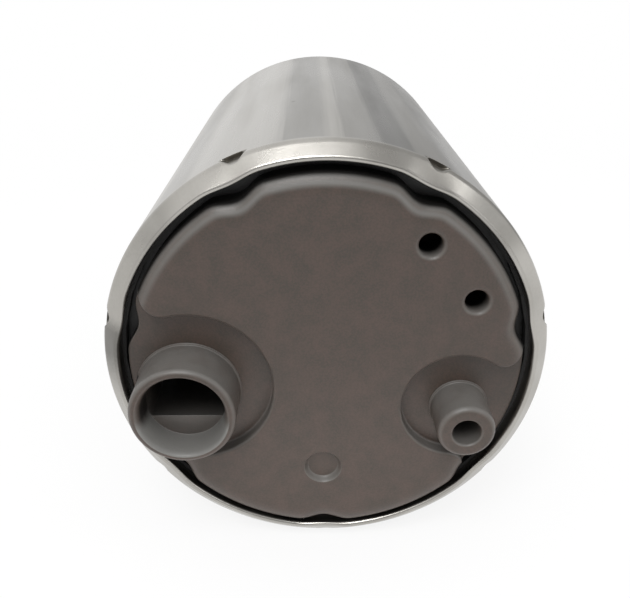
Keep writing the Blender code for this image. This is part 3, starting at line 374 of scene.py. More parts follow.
canBox = boxOf("case_shell")
steel = {
    "light": (0.465, 0.45, 0.42), "dark": (0.40, 0.385, 0.357), "dentShade": (0.13, 0.12, 0.103),
    "marks": (0.75, 0.25),                                    # shares of broad marks and fine lines
    "rough": 0.27, "smudgeRough": 0.08, "dentShadeRough": 0.2, "bump": (0.25, 0.012),
    "pits": {"cells": 300.0, "size": (0.11, 0.05), "patches": 110.0, "rare": (0.58, 0.64), "dark": 0.5},
    "smudges": {"cells": 260.0, "stretch": (1.0, 0.15, 1.0), "detail": 5.0, "range": (0.35, 0.7)},
    "waver": 0.008,                                           # of a turn, by which the bands' edges waver
    "paintedReflectionFrom": (1.4, 1.9),                                  # the lip's bands give way to the body's
    # Painted reflection: how bright the drawn skin is made at shares of a turn round the axis, from the right
    # over the top, in place of the room mirrored in it
    "paintedReflection": ((0.0, 0.86), (0.10, 0.90), (0.150, 0.58), (0.165, 0.60), (0.172, 0.80), (0.190, 0.80),
              (0.194, 0.44), (0.214, 0.38), (0.219, 0.74), (0.238, 0.66), (0.2435, 0.96), (0.248, 0.92),
              (0.252, 0.64), (0.262, 0.57), (0.279, 0.60), (0.2825, 0.94), (0.345, 0.98), (0.352, 0.80),
              (0.372, 0.78), (0.385, 0.98), (0.46, 0.92), (0.53, 0.74), (0.58, 0.95), (0.66, 0.97),
              (0.70, 0.70), (0.735, 0.66), (0.75, 0.95), (0.84, 0.80), (0.86, 0.93), (0.93, 0.74),
              (1.0, 0.86)),
    "lipPaintedReflection": ((0.0, 1.0), (0.085, 1.0), (0.105, 0.80), (0.13, 0.82), (0.16, 1.0), (0.36, 1.0),
                 (0.375, 0.82), (0.395, 0.82), (0.42, 1.0), (0.462, 1.0), (0.472, 0.50), (0.492, 0.46),
                 (0.51, 0.8), (0.53, 1.0), (1.0, 1.0)),
}


def levels(tree, value, stops):
    # Grey levels at the given shares of a value.
    node = newNode(tree, "ValToRGB", Fac=value)
    while len(node.color_ramp.elements) < len(stops):
        node.color_ramp.elements.new(0.5)
    for element, (share, level) in zip(node.color_ramp.elements, stops):
        element.position = share
        element.color = (level, level, level, 1)
    return node.outputs[0]


def makeSteel():
    # Drawn steel: marks along the axis, painted reflection bands round it, smudges, a few pits, and painted
    # shade where it is dented.
    # The share of a turn round the axis is atan2(z, x) over a full turn, and the fine lines waver it.
    material, tree, shader = newMaterial("drawn_steel")
    place = objectPlace(tree)
    spot = axes(tree, place)
    marks = grouped(tree, drawMarks)
    broad = ramp(tree, marks["Bands"], 0.40, 0.60)
    lines = ramp(tree, marks["Lines"], 0.3, 0.7)
    broadShare, fineShare = steel["marks"]
    tone = weighed(tree, broad, broadShare, lines, fineShare)
    colour = mixColour(tree, tone, steel["dark"], steel["light"])

    turn = calc(tree, "DIVIDE", calc(tree, "ARCTAN2", spot["Z"], spot["X"]), 2 * math.pi)
    turn = calc(tree, "FRACT", calc(tree, "ADD", turn, 1.0))
    turn = calc(tree, "MULTIPLY_ADD", marks["Lines"], steel["waver"], turn)
    turn = calc(tree, "SUBTRACT", turn, steel["waver"] / 2)
    # Painted reflection: grey levels round the axis, the lip's and then the body's, multiply the skin's
    # colour
    low, high = (canBox[0][1] + np.array(steel["paintedReflectionFrom"])) * mm
    paintedReflection = mixColour(tree, ramp(tree, spot["Y"], low, high),
                      levels(tree, turn, steel["lipPaintedReflection"]), levels(tree, turn, steel["paintedReflection"]))
    shaded = newNode(tree, "VectorMath")
    shaded.operation = "MULTIPLY"
    feed(tree, shaded.inputs[0], colour)
    feed(tree, shaded.inputs[1], paintedReflection)

    pits, smudges = steel["pits"], steel["smudges"]
    cells = newNode(tree, "TexVoronoi", Scale=pits["cells"], Vector=place)
    rare = ramp(tree, noise(tree, place, pits["patches"]), *pits["rare"])
    pit = calc(tree, "MULTIPLY", ramp(tree, cells.outputs["Distance"], *pits["size"]), rare)
    # Painted shade in the dents, kept on the mesh, darkens the colour, as the pits do
    dark = calc(tree, "MAXIMUM", calc(tree, "MULTIPLY", pit, pits["dark"]), painted(tree, "dentShade"))
    colour = mixColour(tree, dark, shaded.outputs[0], steel["dentShade"])
    tree.links.new(colour, shader.inputs["Base Color"])
    smudge = noise(tree, place, smudges["cells"], smudges["stretch"], smudges["detail"])
    smudge = ramp(tree, smudge, *smudges["range"])
    rough = weighed(tree, smudge, steel["smudgeRough"], dark, steel["dentShadeRough"])
    tree.links.new(calc(tree, "ADD", rough, steel["rough"]), shader.inputs["Roughness"])
    bumped(tree, shader, calc(tree, "SUBTRACT", calc(tree, "MULTIPLY", lines, 0.3), pit), *steel["bump"])
    shader.inputs["Metallic"].default_value = 1.0
    return material


moulded = {
    # The cover's pale colour also serves painted light, and its near-black one painted shade
    "cover": {"base": (0.068, 0.046, 0.037), "alt": (0.042, 0.034, 0.027), "edge": (0.20, 0.185, 0.17),
              "rough": 0.42, "wearAndSheen": 0.15, "dustAndTopLight": (0.148, 0.145, 0.137), "dustAndTopLightShare": 0.7,
              "paintedShade": (0.006, 0.0055, 0.005)},
    "cap": {"base": (0.060, 0.057, 0.056), "alt": (0.048, 0.047, 0.046), "edge": (0.15, 0.145, 0.14),
            "rough": 0.50, "wearAndSheen": 0.3, "dustAndTopLight": (0.12, 0.118, 0.112), "dustAndTopLightShare": 0.4},
    "wheel": {"base": (0.070, 0.052, 0.038), "alt": (0.055, 0.042, 0.032), "edge": (0.16, 0.13, 0.10),
              "rough": 0.48, "wearAndSheen": 0.5},
    "natural": {"base": (0.70, 0.66, 0.56), "alt": (0.62, 0.58, 0.49), "edge": (0.80, 0.77, 0.70),
                "rough": 0.45, "wearAndSheen": 0.3},
    "rubber": {"base": (0.012, 0.012, 0.012), "alt": (0.018, 0.017, 0.016), "edge": (0.04, 0.04, 0.038),
               "rough": 0.75, "wearAndSheen": 0.3},
    "carbon": {"base": (0.030, 0.030, 0.031), "alt": (0.045, 0.044, 0.044), "edge": (0.09, 0.09, 0.09),
               "rough": 0.62, "wearAndSheen": 0.6},
    "ferrite": {"base": (0.080, 0.080, 0.086), "alt": (0.060, 0.060, 0.063), "edge": (0.17, 0.17, 0.17),
                "rough": 0.55, "wearAndSheen": 0.7},
    "ceramic": {"base": (0.75, 0.74, 0.70), "alt": (0.70, 0.69, 0.65), "edge": (0.85, 0.84, 0.80),
                "rough": 0.28, "wearAndSheen": 0.2},
}
skinGrain = {"mottle": 0.45, "speck": 0.55, "roughSpread": 0.1, "bump": (0.45, 0.03)}


def makeMoulded(name):
    # A moulded, pressed or sintered skin: mottled colour, fine grain and rounded edges lightened as wear
    # and as a painted highlight, and on some of them pale dust that also paints the light from above,
    # painted light and painted shade.
    values = moulded[name]
    material, tree, shader = newMaterial(name + "_skin")
    skin = grouped(tree, grain)
    mottle, speck = (ramp(tree, skin[layer], 0.3, 0.7) for layer in ("Mottle", "Height"))
    tone = weighed(tree, mottle, skinGrain["mottle"], speck, skinGrain["speck"])
    colour = mixColour(tree, tone, values["base"], values["alt"])
    wornAndSheen = grouped(tree, edgeWearAndSheen, Amount=values["wearAndSheen"])
    colour = mixColour(tree, wornAndSheen["Mask"], colour, values["edge"])
    # Pale dust on walls that look up, which also paints the light from above, and painted light kept on the
    # mesh
    if "dustAndTopLight" in values:
        settledAndLit = grouped(tree, dustAndTopLight, Amount=values["dustAndTopLightShare"])
        pale = calc(tree, "MAXIMUM", settledAndLit["Mask"], painted(tree, "paintedLight"))
        colour = mixColour(tree, pale, colour, values["dustAndTopLight"])
    # Painted shade kept on the mesh
    if "paintedShade" in values:
        colour = mixColour(tree, painted(tree, "paintedShade"), colour, values["paintedShade"])
    tree.links.new(colour, shader.inputs["Base Color"])
    spread = skinGrain["roughSpread"]
    rough = calc(tree, "MULTIPLY_ADD", skin["Height"], spread, values["rough"] - spread / 2)
    tree.links.new(rough, shader.inputs["Roughness"])
    bumped(tree, shader, skin["Height"], *skinGrain["bump"])
    return material


# grain: which way a metal's marks run, as the stretch of its noise along x, y and z
metals = {
    "ground": {"light": (0.64, 0.64, 0.65), "dark": (0.52, 0.52, 0.53), "rough": 0.18,
               "grain": (0.3, 1, 0.3)},
    "lamination": {"light": (0.34, 0.34, 0.35), "dark": (0.20, 0.20, 0.21), "rough": 0.42,
                   "grain": (0.05, 1, 0.05)},
    "copper": {"light": (0.76, 0.38, 0.21), "dark": (0.55, 0.25, 0.13), "rough": 0.33, "grain": (1, 0.08, 1)},
    "spring": {"light": (0.55, 0.55, 0.56), "dark": (0.42, 0.42, 0.43), "rough": 0.28, "grain": (1, 1, 1)},
    "brass": {"light": (0.80, 0.66, 0.38), "dark": (0.62, 0.48, 0.24), "rough": 0.26, "grain": (1, 0.1, 1)},
    "bronze": {"light": (0.46, 0.30, 0.16), "dark": (0.32, 0.20, 0.10), "rough": 0.48, "grain": (1, 1, 1)},
}
metalMarks = {"cells": 3200.0, "wearAndSheen": 0.5, "smudgeCells": 240.0, "smudgeRough": 0.16, "bump": (0.3, 0.015)}


def makeMetal(name):
    # A bare metal: marks of its making, run one way, in colour, roughness and height.
    values = metals[name]
    material, tree, shader = newMaterial(name + "_metal")
    place = objectPlace(tree)
    marks = ramp(tree, noise(tree, place, metalMarks["cells"], values["grain"], 4.0), 0.3, 0.7)
    # Rounded edges lightened, as wear and as a painted highlight
    wornAndSheen = grouped(tree, edgeWearAndSheen, Amount=metalMarks["wearAndSheen"])
    shade = calc(tree, "MAXIMUM", marks, wornAndSheen["Mask"])
    tree.links.new(mixColour(tree, shade, values["dark"], values["light"]), shader.inputs["Base Color"])
    smudge = noise(tree, place, metalMarks["smudgeCells"])
    rough = calc(tree, "MULTIPLY_ADD", smudge, metalMarks["smudgeRough"], values["rough"] - 0.05)
    tree.links.new(rough, shader.inputs["Roughness"])
    bumped(tree, shader, marks, *metalMarks["bump"])
    shader.inputs["Metallic"].default_value = 1.0
    return material


finishes = {name: makeMoulded(name) for name in moulded}
finishes.update({name: makeMetal(name) for name in metals})
finishes["steel"] = makeSteel()
print("materials made:", len(finishes))


# Can

can = {
    "radius": canBox[1][0], "near": canBox[0][1], "far": canBox[1][1],
    "wall": 0.8, "bend": 0.9, "flank": 45, "mouth": 17.46, "lipRound": 0.28,
    "stakes": 7, "phase": 12.4, "half": 8.6, "lipMove": 0.26,
    "dentDepth": 0.5, "dentHalf": 3.5, "dentSpan": (2.0, 0.75), "dentSides": 2.4, "dentBack": 0.16,
    "dentShift": (0.0, -0.7, -2.7, 1.0, -1.4, 0.8, 1.9), "dentShadeShare": 1.6,
    "around": 840, "fineRows": 11, "fineStep": 0.08, "coarseRows": 7, "innerRows": 3,
}


def stakeAway(angle):
    # Degrees from the nearest stake's middle, and that stake's number.
    pitch = 2 * np.pi / can["stakes"]
    turn = angle - math.radians(can["phase"]) + pitch / 2
    number = np.floor(turn / pitch).astype(int) % can["stakes"]
    return np.degrees(turn % pitch - pitch / 2), number


def stakeWeight(angle):
    # Cosine hump: 1 in the middle of each stake and 0 from half its width on.
    share = np.clip(np.abs(stakeAway(angle)[0]) / can["half"], 0, 1)
    return 0.5 + 0.5 * np.cos(np.pi * share)


def lipSection(lip, side, steps):
    # Half of the can's section at one end: a bend, a straight flank, a small round at the lip, the mouth's
    # wall and the inner bend. The round and the bend both touch the flank. The bend's middle comes with it.
    bend, small, flank = can["bend"], can["lipRound"], math.radians(can["flank"])
    edge = np.array((can["mouth"] + small, lip + side * small))
    low = edge + small * ways(-side * flank)[0]
    highRadius = can["radius"] - bend * (1 - math.cos(flank))
    high = np.array((highRadius, low[1] + side * (highRadius - low[0]) / math.tan(flank)))
    middle = np.array((can["radius"] - bend, high[1] + side * bend * math.sin(flank)))
    slope = low + (high - low) * np.linspace(1, 0, steps + 1)[:, None]
    back = middle[1] - side * (bend - can["wall"])
    points = chain(
        arc(middle, bend, 0, -side * can["flank"], steps // 2),
        slope,
        arc(edge, small, -side * can["flank"], -side * 180, 7),
        (can["mouth"], back), (middle[0], back), (can["radius"] - can["wall"], middle[1]))
    return points, middle


def makeCan():
    # The section (r, y) carried round. Near the lip r falls by the stake hump, and each punch mark
    # moves points straight into the flank: a half moon, steep at its straight back edge.
    near, centre = lipSection(can["near"], 1, 28)
    far, farCentre = lipSection(can["far"], -1, 6)
    fine = centre[1] + np.arange(1, can["fineRows"] + 1) * can["fineStep"]
    coarse = np.linspace(centre[1] + 1, farCentre[1], can["coarseRows"] + 1)[:-1]
    span = np.concatenate((fine, coarse))
    outside = np.column_stack((np.full(len(span), can["radius"]), span))
    inside = outside[[len(fine) - 1, -1]] - (can["wall"], 0)
    section = chain(near[::-1], outside, far, inside[::-1])
    grid = turned(section, steps=can["around"])
    angle = allRound(can["around"])
    weight = stakeWeight(angle)[None]
    radius, y = section[:, :1], section[:, 1:]
    rows = np.arange(len(section))[:, None]
    outer = (rows > can["innerRows"]) & (rows < len(near) + len(outside))
    inLip = np.clip((centre[1] - y) / (centre[1] - can["near"]), 0, 1)
    radius = radius - can["lipMove"] * weight * inLip ** 2

    away, number = stakeAway(angle)
    away = np.abs(away - np.array(can["dentShift"])[number])[None]
    high, low = can["near"] + np.array(can["dentSpan"])
    fall = np.clip((high - y) / (high - low), 0, 1)
    across = np.clip(1 - away / (can["dentHalf"] * np.sqrt(1 - fall ** 2) + 0.01), 0, 1)
    share = np.minimum(1, can["dentSides"] * across) * np.minimum(1, fall / can["dentBack"]) * (1 - fall ** 3)
    share = np.where(outer & (y > low) & (y < high), share, 0)
    flank = math.radians(can["flank"])
    radius = radius - can["dentDepth"] * share * math.cos(flank)
    y = y + can["dentDepth"] * share * math.sin(flank)
    grid[..., 0] = radius * np.cos(angle)
    grid[..., 2] = radius * np.sin(angle)
    grid[..., 1] = y
    piece = shell("drawn_can", grid, wrap=True)
    # Painted shade in the punch marks: a mask kept on the mesh that darkens the steel there
    dentShade = piece.data.attributes.new("dentShade", "FLOAT", "POINT")
    shadeInDents = np.clip(share * can["dentShadeShare"], 0, 1)
    dentShade.data.foreach_set("value", shadeInDents.ravel().astype(np.float32))
    return finished(piece, finishes["steel"], "housing", ["case_shell"], 50)


makeCan()
print("can made")


# Inlet cover

past = 1.0                                    # how far a cutting tool reaches past what it cuts
coverBox = boxOf("inlet_cover")
cover = {
    "radius": 16.93, "fit": coverBox[1][0], "back": coverBox[1][1], "tip": coverBox[0][1],
    "spoutHeight": 4.5, "pocketDepth": 1.26, "flangeThick": 2.7, "notch": 0.7, "crown": (1.8, 1.1),
    "rimAt": (0.0, -0.25), "edge": 0.3, "foot": 0.22, "support": 0.14, "around": 560, "cutterReach": 1.6,
    # Painted shade deep in holes and down the crown near the rim, and a painted highlight along the crown's
    # upper edge
    "paintedShadeOver": 1.2,
    "crownShade": {"depth": 0.4, "over": 0.35, "floorReach": 0.1, "reach": 0.7},
    "crownHighlight": {"middle": 0.72, "half": 0.42, "share": 1.0, "low": 0.0},
    "pockets": [
        {"at": (-11.50, -2.10), "radius": 6.95, "lobes": (0.95, 1.9)},
        {"at": (11.48, -3.98), "radius": 4.95, "lobes": (1.5, 1.5)},
    ],
    "inlet": {"at": (-11.92, -2.83), "radius": 4.45, "bore": 3.40, "crest": 3.96, "ledge": 2.6, "chord": 1.45,
              "portRadius": 3.39, "portEdge": 0.06, "portCorner": 0.12, "ledgeFillet": 0.06, "flare": 2.0,
              "foot": 0.17, "paintedShadeOver": 0.15,
              "shade": {"depth": 0.3, "over": 0.5, "share": 0.92, "left": 0.8, "low": 1.5},
              "paintedLight": {"ledge": 0.36, "wall": 1.0, "below": 0.2}},
    "nipple": {"at": (11.69, -4.62), "radius": 2.44, "bore": 1.20, "drop": 0.2, "rim": 0.55, "mouth": 0.26,
               "foot": 0.17, "paintedShadeFrom": 0.5},
    "vents": {"circle": 13.6, "angles": (53.3, 26.3), "radius": 0.95, "edge": 0.46, "depth": 1.5,
              "wide": 1.2, "paintedShadeFrom": 0.75},
    "mark": {"at": (-0.25, -10.37), "radius": 1.76, "slope": 0.48, "depth": 0.55},
    "channel": {"circle": 12.3, "radius": 1.7, "stripper": 35.0, "inletAngle": 193.36},
    "button": {"radius": 2.5, "depth": 2.4},
}
cover["floor"] = cover["tip"] + cover["spoutHeight"]
cover["face"] = cover["floor"] - cover["pocketDepth"]
cover["flange"] = cover["back"] - cover["flangeThick"]


def rimRadius(angle):
    # Radius of the cover's rim at an angle, drawn in at each stake.
    return cover["radius"] - cover["notch"] * stakeWeight(angle)


def rimPoints(start, end, steps):
    # The notched rim between two angles in radians.
    angle = np.linspace(start, end, steps + 1)
    return cover["rimAt"] + rimRadius(angle)[:, None] * ways(angle)


def lobeAt(pocket, lobe, side):
    # Centre of the round corner beside a pocket, which touches the pocket's circle from outside and
    # the notched rim from inside: halving steps along the circle of radius pocket + lobe.
    at = np.array(pocket["at"])
    toward = math.atan2(at[1], at[0])
    search, margin = 1.2, 0.3               # radians of rim on either side, and kept off both ends
    rim = rimPoints(toward - search, toward + search, 1600)
    low, high = margin, math.pi - margin
    for _ in range(40):
        turn = (low + high) / 2
        angle = toward + side * turn
        centre = at + (pocket["radius"] + lobe) * ways(angle)[0]
        gaps = np.linalg.norm(rim - centre, axis=1)
        away = centre - cover["rimAt"]
        outside = np.hypot(*away) > rimRadius(math.atan2(away[1], away[0]))
        if outside or gaps.min() < lobe:
            low = turn
        else:
            high = turn
    touch = rim[np.argmin(gaps)]
    return centre, touch, angle


def shortTurn(start, end):
    # The turn from start to end the short way round, in radians.
    return (end - start + math.pi) % (2 * math.pi) - math.pi


def pocketOutline(pocket):
    # A pocket's cut: round corner, the pocket's arc, round corner, and the way back outside the rim.
    # With it comes a mask that is 1 along the pocket and falls to 0 where the round corners meet the rim.
    at = np.array(pocket["at"])
    cornerSteps, pocketSteps, outsideSteps = 25, 99, 40
    ends = [lobeAt(pocket, lobe, side) for side, lobe in zip((-1, 1), pocket["lobes"][::-1])]
    arcs = []
    for lobe, (centre, touch, wall) in zip(pocket["lobes"][::-1], ends):
        rimSide = math.atan2(*(touch - centre)[::-1])
        turn = rimSide + shortTurn(rimSide, wall + math.pi) * np.linspace(0, 1, cornerSteps)
        arcs.append(centre + lobe * ways(turn))
    inward = math.atan2(at[1], at[0]) + math.pi
    start, end = ends[0][2], ends[1][2]
    whole = shortTurn(start, inward) + shortTurn(inward, end)
    turn = start + whole * np.linspace(0, 1, pocketSteps + 2)[1:-1]
    pocketArc = at + pocket["radius"] * ways(turn)
    first, last = (math.atan2(*touch[::-1]) for _, touch, _ in ends)
    back = last + shortTurn(last, first) * np.linspace(0, 1, outsideSteps)
    outside = (cover["radius"] + cover["cutterReach"]) * ways(back)
    corner = np.clip(np.linspace(-0.4, 1.6, cornerSteps), 0, 1)
    outline = np.vstack((arcs[0], pocketArc, arcs[1][::-1], outside))
    return outline, np.concatenate((corner, np.ones(pocketSteps), corner[::-1], np.zeros(outsideSteps)))


def crownDrop(x, z):
    # How far the face falls at a place: a quarter ellipse over the last stretch before the rim.
    wide, deep = cover["crown"]
    x, z = x - cover["rimAt"][0], z - cover["rimAt"][1]
    inside = np.clip((rimRadius(np.arctan2(z, x)) - np.hypot(x, z)) / wide, 0, 1)
    return deep * (1 - np.sqrt(1 - (1 - inside) ** 2))


def rimRings(profile):
    # A profile (out, y) carried round the notched rim, in and out along the radius.
    angle = allRound(cover["around"])
    radius = rimRadius(angle) + profile[:, :1]
    x, z = cover["rimAt"]
    y = profile[:, 1:] + 0 * angle
    return np.stack((x + radius * np.cos(angle), y, z + radius * np.sin(angle)), axis=-1)


def makePlateau():
    # The raised face: crowned towards its rim, then cut by the pockets. Each cut has a rounded upper
    # edge that follows the crown, and leaves a fillet at its foot.
    face, floor, edge, foot = cover["face"], cover["floor"], cover["edge"], cover["foot"]
    wide, deep = cover["crown"]
    turn = np.radians(np.linspace(90, 0, 19))
    crown = np.column_stack((wide * (np.cos(turn) - 1), face + deep * (1 - np.sin(turn))))
    profile = chain((-wide - cover["support"], face), crown, (0.0, cover["flange"] + 0.2))
    plateau = shell("plateau", rimRings(profile))
    lip = arc((edge, face + edge), edge, -90, -180, 7)
    profile = chain((edge, face - past), lip, arc((-foot, floor - foot), foot, 0, 90, 5),
                    (-foot, cover["flange"] + past))
    tools = []
    for pocket in cover["pockets"]:
        outline, mask = pocketOutline(pocket)
        grid = carried(outline, profile, flare=mask)
        rows = slice(1, len(lip) + 1)
        grid[rows, :, 1] += crownDrop(grid[rows, :, 0], grid[rows, :, 2])
        tools.append(shell("pocket", grid))
    return combined(plateau, tools, "DIFFERENCE")


def makeBase():
    # The disc under the raised face: notched rim with a small round, then the flange that fits the can.
    floor, flange, back, fit = cover["floor"], cover["flange"], cover["back"], cover["fit"]
    small, inset = 0.2, 0.02
    profile = chain((-inset - small - cover["support"], floor),
                    arc((-inset - small, floor + small), small, -90, 0, 5), (-inset, flange))
    flangeProfile = chain((fit - small, flange), (fit, flange + small), (fit, back - small),
                          (fit - small, back))
    grid = np.concatenate((rimRings(profile), turned(flangeProfile, steps=cover["around"])))
    return shell("base", grid)


def footLine(radius, foot):
    # Points up to a spout's wall: a small round where it meets the floor, and another above it.
    floor = cover["floor"]
    return chain((radius + foot, cover["flange"]),
                 arc((radius + foot * 0.45, floor - foot * 0.25), foot * 0.5, 0, -90, 4),
                 arc((radius + foot * 0.5, floor - foot * 1.6), foot * 0.5, 120, 180, 3))


def makeInletSpout():
    # A round tube standing on the floor, with a raised line at its foot and a fully rounded rim.
    inlet = cover["inlet"]
    rim = inlet["radius"] - inlet["crest"]
    profile = chain(
        footLine(inlet["radius"], inlet["foot"]),
        arc((inlet["radius"] - rim, cover["tip"] + rim), rim, 0, -90, 12),
        (inlet["crest"] - 0.15, cover["tip"]))
    return shell("inlet spout", turned(profile, inlet["at"], 160))


def makeInletBore():
    # The bore down to the ledge: its mouth flares over a quarter ellipse up to the crest of the rim,
    # bore + wide (1 + cos a) out and flare (1 + sin a) deep.
    inlet, tip = cover["inlet"], cover["tip"]
    wide = inlet["crest"] - inlet["bore"]
    low = tip + inlet["ledge"]
    turn = np.radians(np.linspace(-90, -180, 21))
    flare = np.column_stack((inlet["bore"] + wide * (1 + np.cos(turn)),
                             tip + inlet["flare"] * (1 + np.sin(turn))))
    fillet = inlet["ledgeFillet"]
    profile = chain((inlet["crest"], tip - past), flare,
                    arc((inlet["bore"] - fillet, low - fillet), fillet, 0, 90, 10))
    return shell("inlet bore", turned(profile, inlet["at"], 160))


def makeInletPort():
    # The port below the ledge: a circle cut straight along a chord, where its upper edge is rounded.
    inlet = cover["inlet"]
    radius, chord, small, corner = (inlet[name] for name in ("portRadius", "chord", "portEdge", "portCorner"))
    reach = radius - corner
    start = math.asin((corner - chord) / reach)
    right = arc((reach * math.cos(start), reach * math.sin(start)), corner, -90, math.degrees(start), 5)
    left = right[::-1] * (-1, 1)
    over = arc((0, 0), radius, math.degrees(start), 180 - math.degrees(start), 60)
    outline = chain(right, over, left) + inlet["at"]
    straight = np.linspace(outline[-1], outline[0], 32)[1:-1]
    along = np.linspace(0, 1, 32)[1:-1]
    mask = np.concatenate((np.zeros(len(outline)), np.clip(8 * np.minimum(along, 1 - along), 0, 1)))
    outline = np.vstack((outline, straight))
    ledge = cover["tip"] + inlet["ledge"]
    profile = chain((small, ledge - 1.2), arc((small, ledge + small), small, -90, -180, 6),
                    (0.0, cover["back"] + 0.5))
    return shell("inlet port", carried(outline, profile, flare=mask))


def makeNipple():
    # The small nipple: a foot line, a wall and a nearly flat end between two rounded edges.
    nipple = cover["nipple"]
    rim, tip = nipple["rim"], cover["tip"] + nipple["drop"]
    profile = chain(
        footLine(nipple["radius"], nipple["foot"]),
        arc((nipple["radius"] - rim, tip + rim), rim, 0, -90, 9),
        (nipple["radius"] - rim - 0.1, tip))
    return shell("nipple", turned(profile, nipple["at"], 112))


def makeHole(name, radius, edge, top, bottom, at, steps=64, widening=()):
    # A hole that opens at top with a rounded mouth, and may widen further in.
    profile = chain((radius + edge, top - past), arc((radius + edge, top + edge), edge, -90, -180, 6))
    for wide, depth in widening:
        profile = chain(profile, (radius, top + depth), (wide, top + depth + 0.1))
        radius = wide
    return shell(name, turned(chain(profile, (radius, bottom)), at, steps))


def makeMark():
    # The round mould recess, left bare: its depth follows half a cosine wave down to a flat floor.
    mark, above = cover["mark"], 0.01
    share = np.linspace(0, 1, 17)
    depth = (mark["depth"] + above) * (1 - np.cos(np.pi * share)) / 2 - above
    slope = np.column_stack((mark["radius"] - mark["slope"] * share, cover["face"] + depth))
    profile = chain((mark["radius"] + above, cover["face"] - past), slope)
    return shell("mark recess", turned(profile, mark["at"], 96))


def makeChannel(y):
    # The tool for the wheel's channel: a circle carried round part of a ring, closed at both ends.
    channel = cover["channel"]
    start = channel["inletAngle"]
    angle = np.radians(np.linspace(start + channel["stripper"], start + 360, 90))
    section = arc((channel["circle"], y), channel["radius"], 0, 360, 24)[:-1]
    r, along = section[:, 0], section[:, 1]
    x, z = (r * across(angle)[:, None] for across in (np.cos, np.sin))
    grid = np.stack((x, along + 0 * angle[:, None], z), axis=-1)
    return shell("channel", grid)


def paintedShadeInside(piece, holes):
    # Painted shade: 0 at the given depth of each hole, rising to 1 over the next stretch, and the same down
    # the crown. The inlet's left wall gets painted shade too. Painted light lies on its ledge and lower wall,
    # and a painted highlight in a band along the crown's upper edge that grows with the height.
    mesh = piece.data
    points = np.empty(len(mesh.vertices) * 3, np.float32)
    mesh.vertices.foreach_get("co", points)
    x, y, z = points.reshape(-1, 3).T / mm
    close = 0.02

    paintedShade = np.zeros(len(x), np.float32)
    for at, radius, depth, over in holes:
        within = np.hypot(x - at[0], z - at[1]) < radius + 1.5 * close
        paintedShade = np.maximum(paintedShade, within * np.clip((y - depth) / over, 0, 1))
    away = np.stack((x, z)) - np.array(cover["rimAt"])[:, None]
    inset = rimRadius(np.arctan2(away[1], away[0])) - np.hypot(*away)
    down = cover["crownShade"]
    beside = inset < np.where(y > cover["floor"] - 0.05, down["floorReach"], down["reach"])
    paintedShade = np.maximum(paintedShade, beside * np.clip((y - cover["face"] - down["depth"]) / down["over"], 0, 1))

    inlet, tip = cover["inlet"], cover["tip"]
    # Painted shade on the inlet's left wall, away from the light
    shade, pale = inlet["shade"], inlet["paintedLight"]
    right, up = x - inlet["at"][0], z - inlet["at"][1]
    inside = (np.hypot(right, up) < inlet["crest"] - close) & (y < tip + inlet["ledge"] + 0.05)
    leftWall = np.clip(-right - shade["left"], 0, 1) * np.clip(shade["low"] + up, 0, 1)
    leftWall = leftWall * np.clip((y - tip - shade["depth"]) / shade["over"], 0, 1)
    paintedShade = np.maximum(paintedShade, shade["share"] * inside * leftWall)

    # Painted light on the inlet's ledge and lower wall, and a painted highlight in a band along the crown's
    # upper edge
    onLedge = y > tip + inlet["ledge"] - close
    lowWall = pale["wall"] * np.clip(-up - pale["below"], 0, 1)
    paintedLight = inside * np.where(onLedge, pale["ledge"], lowWall)
    edge = cover["crownHighlight"]
    crown = (y > cover["face"] + close) & (y < cover["face"] + cover["crown"][1] - close)
    band = edge["share"] * crown * np.clip(1 - abs(inset - edge["middle"]) / edge["half"], 0, 1)
    paintedLight = np.maximum(paintedLight, band * np.clip(edge["low"] + z / cover["radius"], 0, 1))
    for name, values in (("paintedShade", paintedShade), ("paintedLight", paintedLight)):
        kept = mesh.attributes.new(name, "FLOAT", "POINT")
        kept.data.foreach_set("value", values.astype(np.float32))


def makeCover():
    # The moulding: disc, plateau and spouts joined, then the bores, vents, mark and channel cut.
    face, back, button = cover["face"], cover["back"], cover["button"]
    inlet, nipple, vents = cover["inlet"], cover["nipple"], cover["vents"]
    through, nippleTip = back + 0.5, cover["tip"] + nipple["drop"]
    body = combined(makeBase(), [makePlateau(), makeInletSpout(), makeNipple()], "UNION")
    tools = [makeInletBore(), makeInletPort(), makeMark(), makeChannel(back),
             makeHole("nipple bore", nipple["bore"], nipple["mouth"], nippleTip, through, nipple["at"], 96)]
    # Holes that get painted shade further in
    holes = [(inlet["at"], inlet["portRadius"], cover["tip"] + inlet["ledge"] - 0.02, inlet["paintedShadeOver"]),
             (nipple["at"], nipple["bore"], nippleTip + nipple["paintedShadeFrom"], cover["paintedShadeOver"])]
    for at in vents["circle"] * ways(np.radians(vents["angles"])):
        tools.append(makeHole("vent", vents["radius"], vents["edge"], face, through, at,
                              widening=[(vents["wide"], vents["depth"])]))
        holes.append((at, vents["wide"], face + vents["paintedShadeFrom"], cover["paintedShadeOver"] / 2))
    pocket = np.array(((button["radius"], back - button["depth"]), (button["radius"], through)))
    tools.append(shell("button pocket", turned(pocket, steps=48)))
    combined(body, tools, "DIFFERENCE")
    body.name = "inlet_moulding"
    paintedShadeInside(body, holes)
    return finished(body, finishes["cover"], "housing", ["inlet_cover"])


coverPiece = makeCover()
print("inlet cover made:", len(coverPiece.data.polygons), "faces")


# Outlet cap

